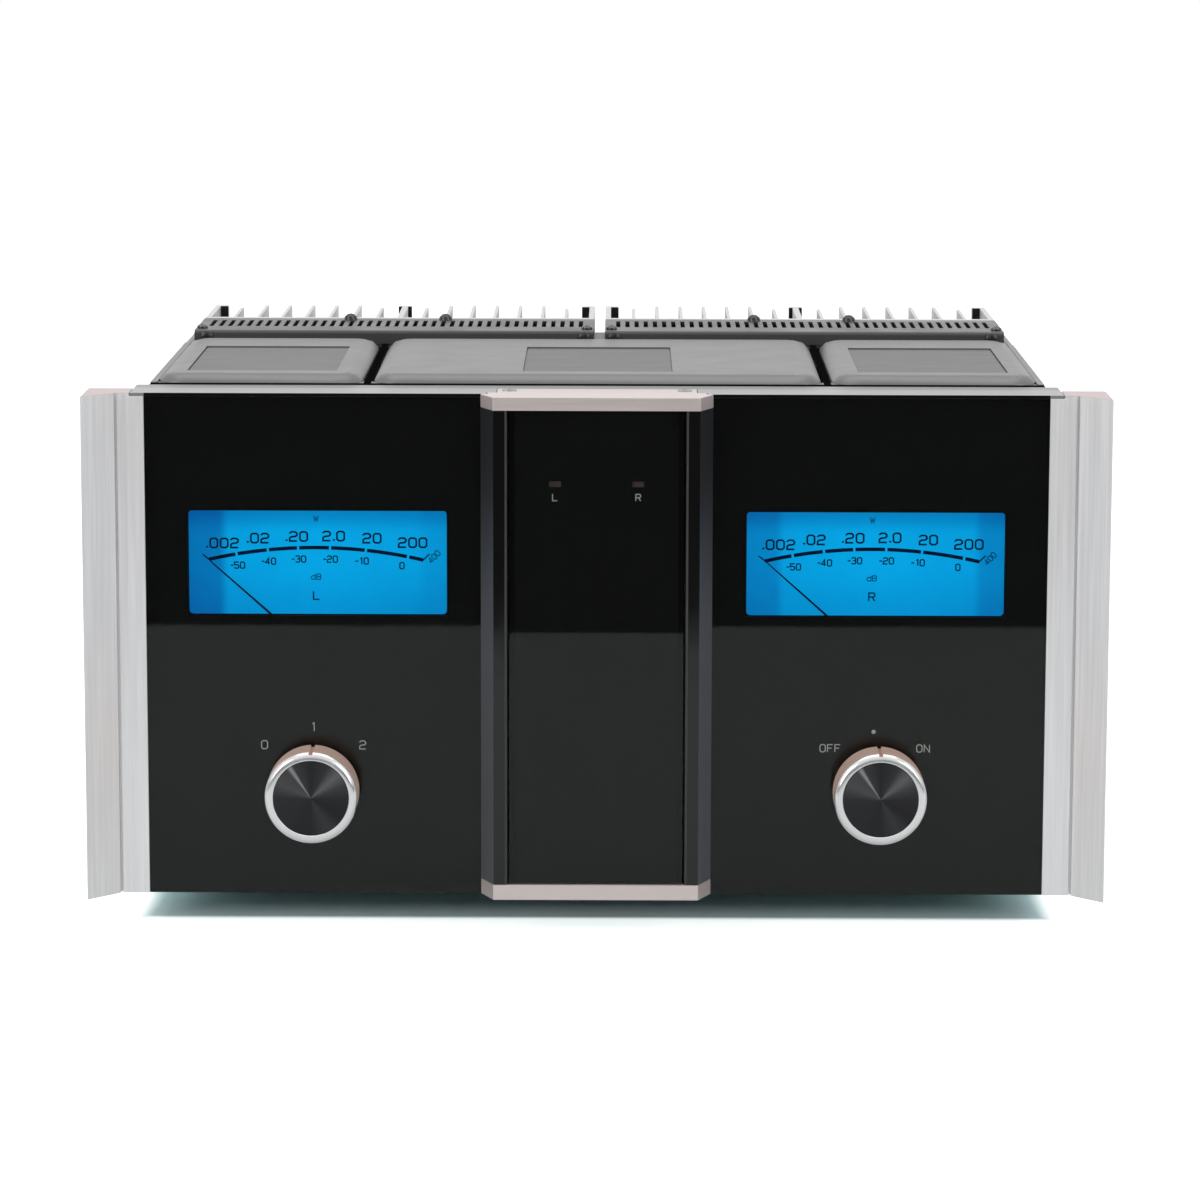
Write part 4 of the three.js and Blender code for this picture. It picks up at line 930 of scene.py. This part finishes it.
def dial_print(side, sign):
    """All that is printed on a dial, in parts that each have a stroke width."""
    left, right = arc_point(ARC_MIDDLE - ARC_HALF), arc_point(ARC_MIDDLE + ARC_HALF)
    fine = [[left + Vector((-2.8, 2.3)), left + Vector((0.9, -0.7))],
            [right + Vector((-0.6, -0.7)), right + Vector((2.9, 2.7))]]
    upper = [s for word, x, y in UPPER for s in word_strokes(word, x, y, 4.05, 1.18)]
    lower = [s for word, x, y in LOWER for s in word_strokes(word, x, y, 2.75)]
    last = word_strokes("400", *LAST_PLACE, 2.5, 0.9, 47)
    units = word_strokes("W", *UNIT_PLACES[0], 2.3, 1.3) + word_strokes("dB", *UNIT_PLACES[1], 2.3, 1.1)
    title = word_strokes(side[0].upper(), *TITLE_PLACE, 3.6, 1.1)
    ground = at(sign * WINDOW_X, DIAL_FACE, WINDOW_Z, TO_FRONT)
    for part, strokes, width in (("arc", arc_strokes(), 1.6), ("ends", fine, 0.6), ("upper", upper, 0.78),
                                 ("lower", lower, 0.56), ("last", last, 0.38), ("units", units, 0.38),
                                 ("title", title, 0.6)):
        mesh = stroke_mesh(f"{part}_print", strokes, width)
        new_piece(f"{side}_dial_{part}", mesh, "dial_print", "chassis", ground)


def window_mask(side, sign):
    """A thin black frame behind the glass that rounds the window's corners."""
    lap, rim, thickness = 0.5, 3.6, 0.25
    hole = rounded(WINDOW_WIDTH - lap, WINDOW_HEIGHT - lap, 1.8)
    outline = rounded(WINDOW_WIDTH + rim, WINDOW_HEIGHT + rim, 1.5)
    new_piece(f"{side}_window_mask", prism("window_mask", outline, [hole], 0, thickness), "black_steel",
              "chassis", at(sign * WINDOW_X, MASK_BACK, WINDOW_Z, TO_FRONT))


def needle_mesh():
    """A slim pointer with a hub and the spindle that turns it, its front at zero."""
    tail, tip, thickness = 0.75, 0.26, 0.6
    outline = [(-tail, -NEEDLE_TAIL), (tail, -NEEDLE_TAIL), (tail * 0.8, 0), (tip, NEEDLE_LENGTH),
               (-tip, NEEDLE_LENGTH), (-tail * 0.8, 0)]
    blade = prism("blade", outline, [], -thickness, 0)
    end = -HUB_THICKNESS - SPINDLE_LENGTH
    hub = lathe("hub", [(0, end), (1, end), (1, -HUB_THICKNESS), (HUB_RADIUS, -HUB_THICKNESS),
                        (HUB_RADIUS, -0.3), (HUB_RADIUS - 0.3, 0), (0, 0)], 48)
    return carve(hub, (blade, Matrix.Identity(4)), operation="UNION")


def add_needle(side, sign):
    way = TO_FRONT @ Matrix.Rotation(math.radians(NEEDLE_REST), 4, "Z")
    slim = new_piece(f"{side}_needle_slim", needle_mesh(), "needle", f"{side}_needle",
                     at(sign * WINDOW_X, NEEDLE_FRONT, NEEDLE_PIVOT, way))
    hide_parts(f"{side}_meter_needle")


for side, sign in SIDES:
    dial_print(side, sign)
    window_mask(side, sign)
    add_needle(side, sign)


# --- marks on the glass
def glass_mark(name, mesh, x, z, y=0.0):
    new_piece(name, mesh, "print", "chassis", at(x, y, z, TO_FRONT))


def mark(name, word, height, x, z, y=0.0, width=0.42):
    """Plain numbers or capitals as thin raised strokes, centred on their place."""
    strokes = word_strokes(word.replace("O", "0"), 0, 0, height, 1.08)
    glass_mark(name, stroke_mesh(name, strokes, width), x, z, y)


mark("power_off_mark", "OFF", 3.2, 102.6, 81.6)
mark("power_on_mark", "ON", 3.2, 143.4, 81.6)
mark("meter_mark_0", "0", 3.6, -145.4, 82.4)
mark("meter_mark_1", "1", 3.6, -124.2, 90.4)
mark("meter_mark_2", "2", 3.6, -102.4, 82.4)
DOT = lathe("power_mark_dot", [(0, 0), (0.9, 0), (0.9, PRINT_LIFT), (0, PRINT_LIFT)], 24)
glass_mark("power_mark_dot", DOT, 121.6, 89.0)
for side, sign in SIDES:
    mark(f"{side}_channel_mark", side[0].upper(), 2.9, sign * INDICATOR_X, 193.9, CENTRE_GLASS_FRONT, 0.38)


# --- centre panel
def centre_mask():
    """Black sheet behind the centre glass, with a slot for each indicator."""
    half_width, low, high, thickness = 38.0, 22.9, 231.6, 0.2
    outer = [(-half_width, low), (half_width, low), (half_width, high), (-half_width, high)]
    slot = rounded(5.1, 2.5, 0.3, 3)
    slots = [[(sign * INDICATOR_X + x, INDICATOR_Z + z) for x, z in slot] for _, sign in SIDES]
    new_piece("centre_mask", prism("centre_mask", outer, slots, 0, thickness), "black_steel", "chassis",
              at(0, CENTRE_MASK_BACK, 0, TO_FRONT))


centre_mask()


# --- painted shade round the transformer cans, as thin black sheets
def can_shade_sheets():
    """A thin matt black sheet of painted shade in front of and between the cans, and a lip beside each outer
    can.
    """
    front, step, back = SHADE_SHEET_FRONT, CAN_FRONT, CAN_BACK
    near, far, side = 100.0, 103.2, 197.0
    right = [(side, front), (side, step), (far, step), (far, back), (near, back), (near, step)]
    left = [(-x, y) for x, y in reversed(right)]
    ground = at(0, 0, PANEL_TOP)
    comb = prism("can_shade_sheet", right + left, [], 0, 0.15)
    new_piece("can_shade_sheet", comb, "shade_sheet", "chassis", ground)
    lip = prism("can_lip", [(LIP_X, step), (WALL_X, step), (WALL_X, back), (LIP_X, back)], [], 0, 0.5)
    for side_name, sign in SIDES:
        mesh = lip
        if sign < 0:
            mesh = lip.copy()
            mesh.transform(Matrix.Scale(-1, 4, (1, 0, 0)))
            mesh.flip_normals()
        new_piece(f"{side_name}_can_lip", mesh, "cover", "chassis", ground)


can_shade_sheets()


# --- rear sockets and terminals
FLANGE_THICKNESS = 1.2
FLANGE_HOLE = 12.0
FLANGE_SCREWS = ((-9.8, 12.2), (9.8, -12.2))
PHONO_SOCKETS = ((45, "red_ring"), (69, "white_ring"))
TERMINALS = 8


def ring_mesh(name, inner, outer, height, edge=0.25):
    return lathe(name, [(inner, 0), (outer, 0), (outer, height - edge), (outer - edge, height),
                        (inner + edge, height), (inner, height - edge), (inner, 0)], 48)


def rear_sockets():
    turns = [2 * math.pi * k / 48 for k in range(48)]
    hole = [(FLANGE_HOLE * math.cos(a), FLANGE_HOLE * math.sin(a)) for a in turns]
    flange = prism("socket_flange", rounded(26, 31, 3), [hole], 0, FLANGE_THICKNESS)
    for k, x in enumerate(BALANCED_X):
        new_piece(f"balanced_flange_{k + 1}", flange, "terminal_plastic", "chassis",
                  at(x, REAR_FACE, SOCKET_Z, TO_BACK))
        for n, (a, b) in enumerate(FLANGE_SCREWS):
            add_screw(f"balanced_screw_{k + 1}_{n + 1}", SOCKET_SCREW,
                      at(x + a, REAR_FACE + FLANGE_THICKNESS, SOCKET_Z + b, TO_BACK), 30 * n)
    sleeve = ring_mesh("phono_sleeve", 4.32, 4.75, 7.9)
    for k, (z, look) in enumerate(PHONO_SOCKETS):
        ground = at(PHONO_X, REAR_FACE, z, TO_BACK)
        new_piece(f"phono_sleeve_{k + 1}", sleeve, "terminal_cap", "chassis", ground)
        washer = ring_mesh(f"phono_washer_{k + 1}", 4.8, 6.6, 1.0)
        new_piece(f"phono_washer_{k + 1}", washer, look, "chassis", ground)


def cap_mesh():
    """A knurled thumb cap with a groove round its waist and a bore for its stud."""
    profile = [(3.3, 0), (7.2, 0), (7.5, 0.3), (7.5, 3.7), (7.2, 4), (6.3, 4.2), (6.3, 15.8), (7.2, 16),
               (7.5, 16.3), (7.5, 19.4), (6.9, 20), (2.2, 20), (2.0, 19.8), (2.0, 19.0), (3.3, 18.9),
               (3.3, 0)]
    ribbed_rows, ribs, depth = (2, 3, 8, 9), 24, 0.035

    def rib(angle, row):
        return 1 - depth * (row in ribbed_rows) * (0.5 + 0.5 * math.cos(ribs * angle))

    return lathe("thumb_cap", profile, 96, rib)


def speaker_terminals():
    cap = cap_mesh()
    rings = {look: ring_mesh(f"terminal_{look}", 3.4, 7.2, 0.8) for look in ("red_ring", "white_ring")}
    half = TERMINALS // 2
    for k in range(TERMINALS):
        x = (k - (TERMINALS - 1) / 2) * TERMINAL_PITCH
        side, number = ("left", k + 1) if k < half else ("right", k + 1 - half)
        name = f"{side}_terminal_cap_{number}"
        piece = new_piece(f"{name}_turned", cap, "terminal_cap", f"{side}_cap_{number}",
                          at(x, CAP_BASE, SOCKET_Z, TO_BACK))
        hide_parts(name)
        look = "white_ring" if number == half else "red_ring"
        new_piece(f"{side}_terminal_ring_{number}", rings[look], look, "chassis",
                  at(x, TERMINAL_FACE, SOCKET_Z, TO_BACK))


rear_sockets()
speaker_terminals()


# --- studio, in metres
FLOOR_FRONT = GLASS_FRONT - 0.795
FLOOR_REACH = 3.0
FLOOR_COLOR = (0.84, 0.87, 0.87)
SHADOW_COLOR = (0.55, 0.8, 0.82)
# The ground's own light, as the camera sees it and as metal and glass do
SEEN_LIGHT = 0.78
MIRRORED_LIGHT = 0.02
# The world's light: from above, the least to be mirrored, and the share for matt surfaces
ABOVE_LIGHT = 0.85
LEAST_LIGHT = 0.09
MATT_LIGHT = 0.5


def floor_look():
    """A pale ground; away from the amplifier it lights up for the camera, and for metal and glass."""
    finish = Finish("floor").set(Specular_IOR_Level=0.3, Emission_Color=(0.93, 1.0, 1.0, 1))
    finish.roughness(finish.ramp(finish.noise(250), 0.5, 0.6))
    rays = finish.node("ShaderNodeLightPath")
    mirrored = finish.maths("MAXIMUM", rays["Is Glossy Ray"], rays["Is Transmission Ray"])
    seen = finish.maths("MAXIMUM", finish.maths("MULTIPLY", rays["Is Camera Ray"], SEEN_LIGHT),
                        finish.maths("MULTIPLY", mirrored, MIRRORED_LIGHT))
    along = finish.maths("ABSOLUTE", finish.axis("Y"))
    beside = finish.ramp(finish.side(), 0.0, 1.0, 0.195, 0.207, smooth=True)
    before = finish.ramp(along, 0.0, 1.0, 0.136, 0.1446, smooth=True)
    near = finish.ramp(along, 0.0, 0.13, 0.112, 0.14)
    away = finish.maths("MAXIMUM", finish.maths("MAXIMUM", beside, before), near)
    pale = finish.mix(finish.noise(400), FLOOR_COLOR, shade(FLOOR_COLOR, 1.02))
    finish.color(finish.mix(away, SHADOW_COLOR, pale))
    finish.link("Emission Strength", finish.maths("MULTIPLY", seen, away))


def make_floor():
    floor_look()
    reach, front = FLOOR_REACH, FLOOR_FRONT
    corners = [(-reach, front, 0), (reach, front, 0), (reach, reach, 0), (-reach, reach, 0)]
    mesh = mesh_of("floor", corners, [(0, 1, 2, 3)])
    mesh.materials.append(LOOKS["floor"])
    add_object("floor", mesh)


def make_world():
    """White behind the amplifier; towards the room in front, what metal and glass see is dim."""
    world = bpy.data.worlds.new("studio")
    bpy.context.scene.world = world
    world.use_nodes = True
    shading = Shading(world.node_tree)
    maths = shading.maths
    rays = shading.node("ShaderNodeLightPath")
    generated = shading.node("ShaderNodeTexCoord")["Generated"]
    toward = shading.node("ShaderNodeSeparateXYZ", {0: generated})
    above = shading.ramp(toward["Z"], 0.0, ABOVE_LIGHT, -0.02, 0.25, smooth=True)
    back = shading.ramp(toward["Y"], 0.0, 1.0, -0.35, 0.15, smooth=True)
    around = maths("MAXIMUM", maths("MAXIMUM", above, back), LEAST_LIGHT)
    mirrored = maths("MAXIMUM", rays["Is Glossy Ray"], rays["Is Transmission Ray"])
    mirrored = maths("MULTIPLY", around, mirrored)
    matt = maths("MULTIPLY", rays["Is Diffuse Ray"], MATT_LIGHT)
    strength = maths("MAXIMUM", maths("MAXIMUM", rays["Is Camera Ray"], mirrored), matt)
    background = world.node_tree.nodes["Background"]
    background.inputs["Color"].default_value = (1, 1, 1, 1)
    world.node_tree.links.new(strength, background.inputs["Strength"])


def softbox(name, location, target, width, height, watts):
    light = bpy.data.lights.new(name, "AREA")
    light.shape = "RECTANGLE"
    light.size, light.size_y = width, height
    light.energy = watts
    turn = (Vector(target) - Vector(location)).to_track_quat("-Z", "Y")
    add_object(name, light, Matrix.LocRotScale(Vector(location), turn, None))


# The photograph's viewpoint, fitted to the panel's corners, in mm and degrees
CAMERA_PLACE = (9.91, -1980.6, 471.65)
CAMERA_PITCH = 9.304
CAMERA_ROLL = 0.183


def make_camera():
    data = bpy.data.cameras.new("camera")
    data.sensor_width = 36
    data.lens = 138
    data.shift_x = -0.016
    data.clip_start, data.clip_end = 0.05, 50
    turn = Matrix.Rotation(math.radians(90 - CAMERA_PITCH), 4, "X")
    turn = turn @ Matrix.Rotation(math.radians(CAMERA_ROLL), 4, "Z")
    bpy.context.scene.camera = add_object("camera", data, at(*CAMERA_PLACE, turn))


make_floor()
make_world()
softbox("top_softbox", (0.0, 0.1, 1.7), (0, 0, 0.1), 1.8, 1.4, 8)
softbox("left_softbox", (-1.6, -1.3, 1.1), (0, 0, 0.12), 1.0, 1.2, 12.5)
softbox("right_softbox", (1.6, -1.3, 1.1), (0, 0, 0.12), 1.0, 1.2, 10.5)
make_camera()

scene = bpy.context.scene
scene.view_settings.view_transform = "Standard"
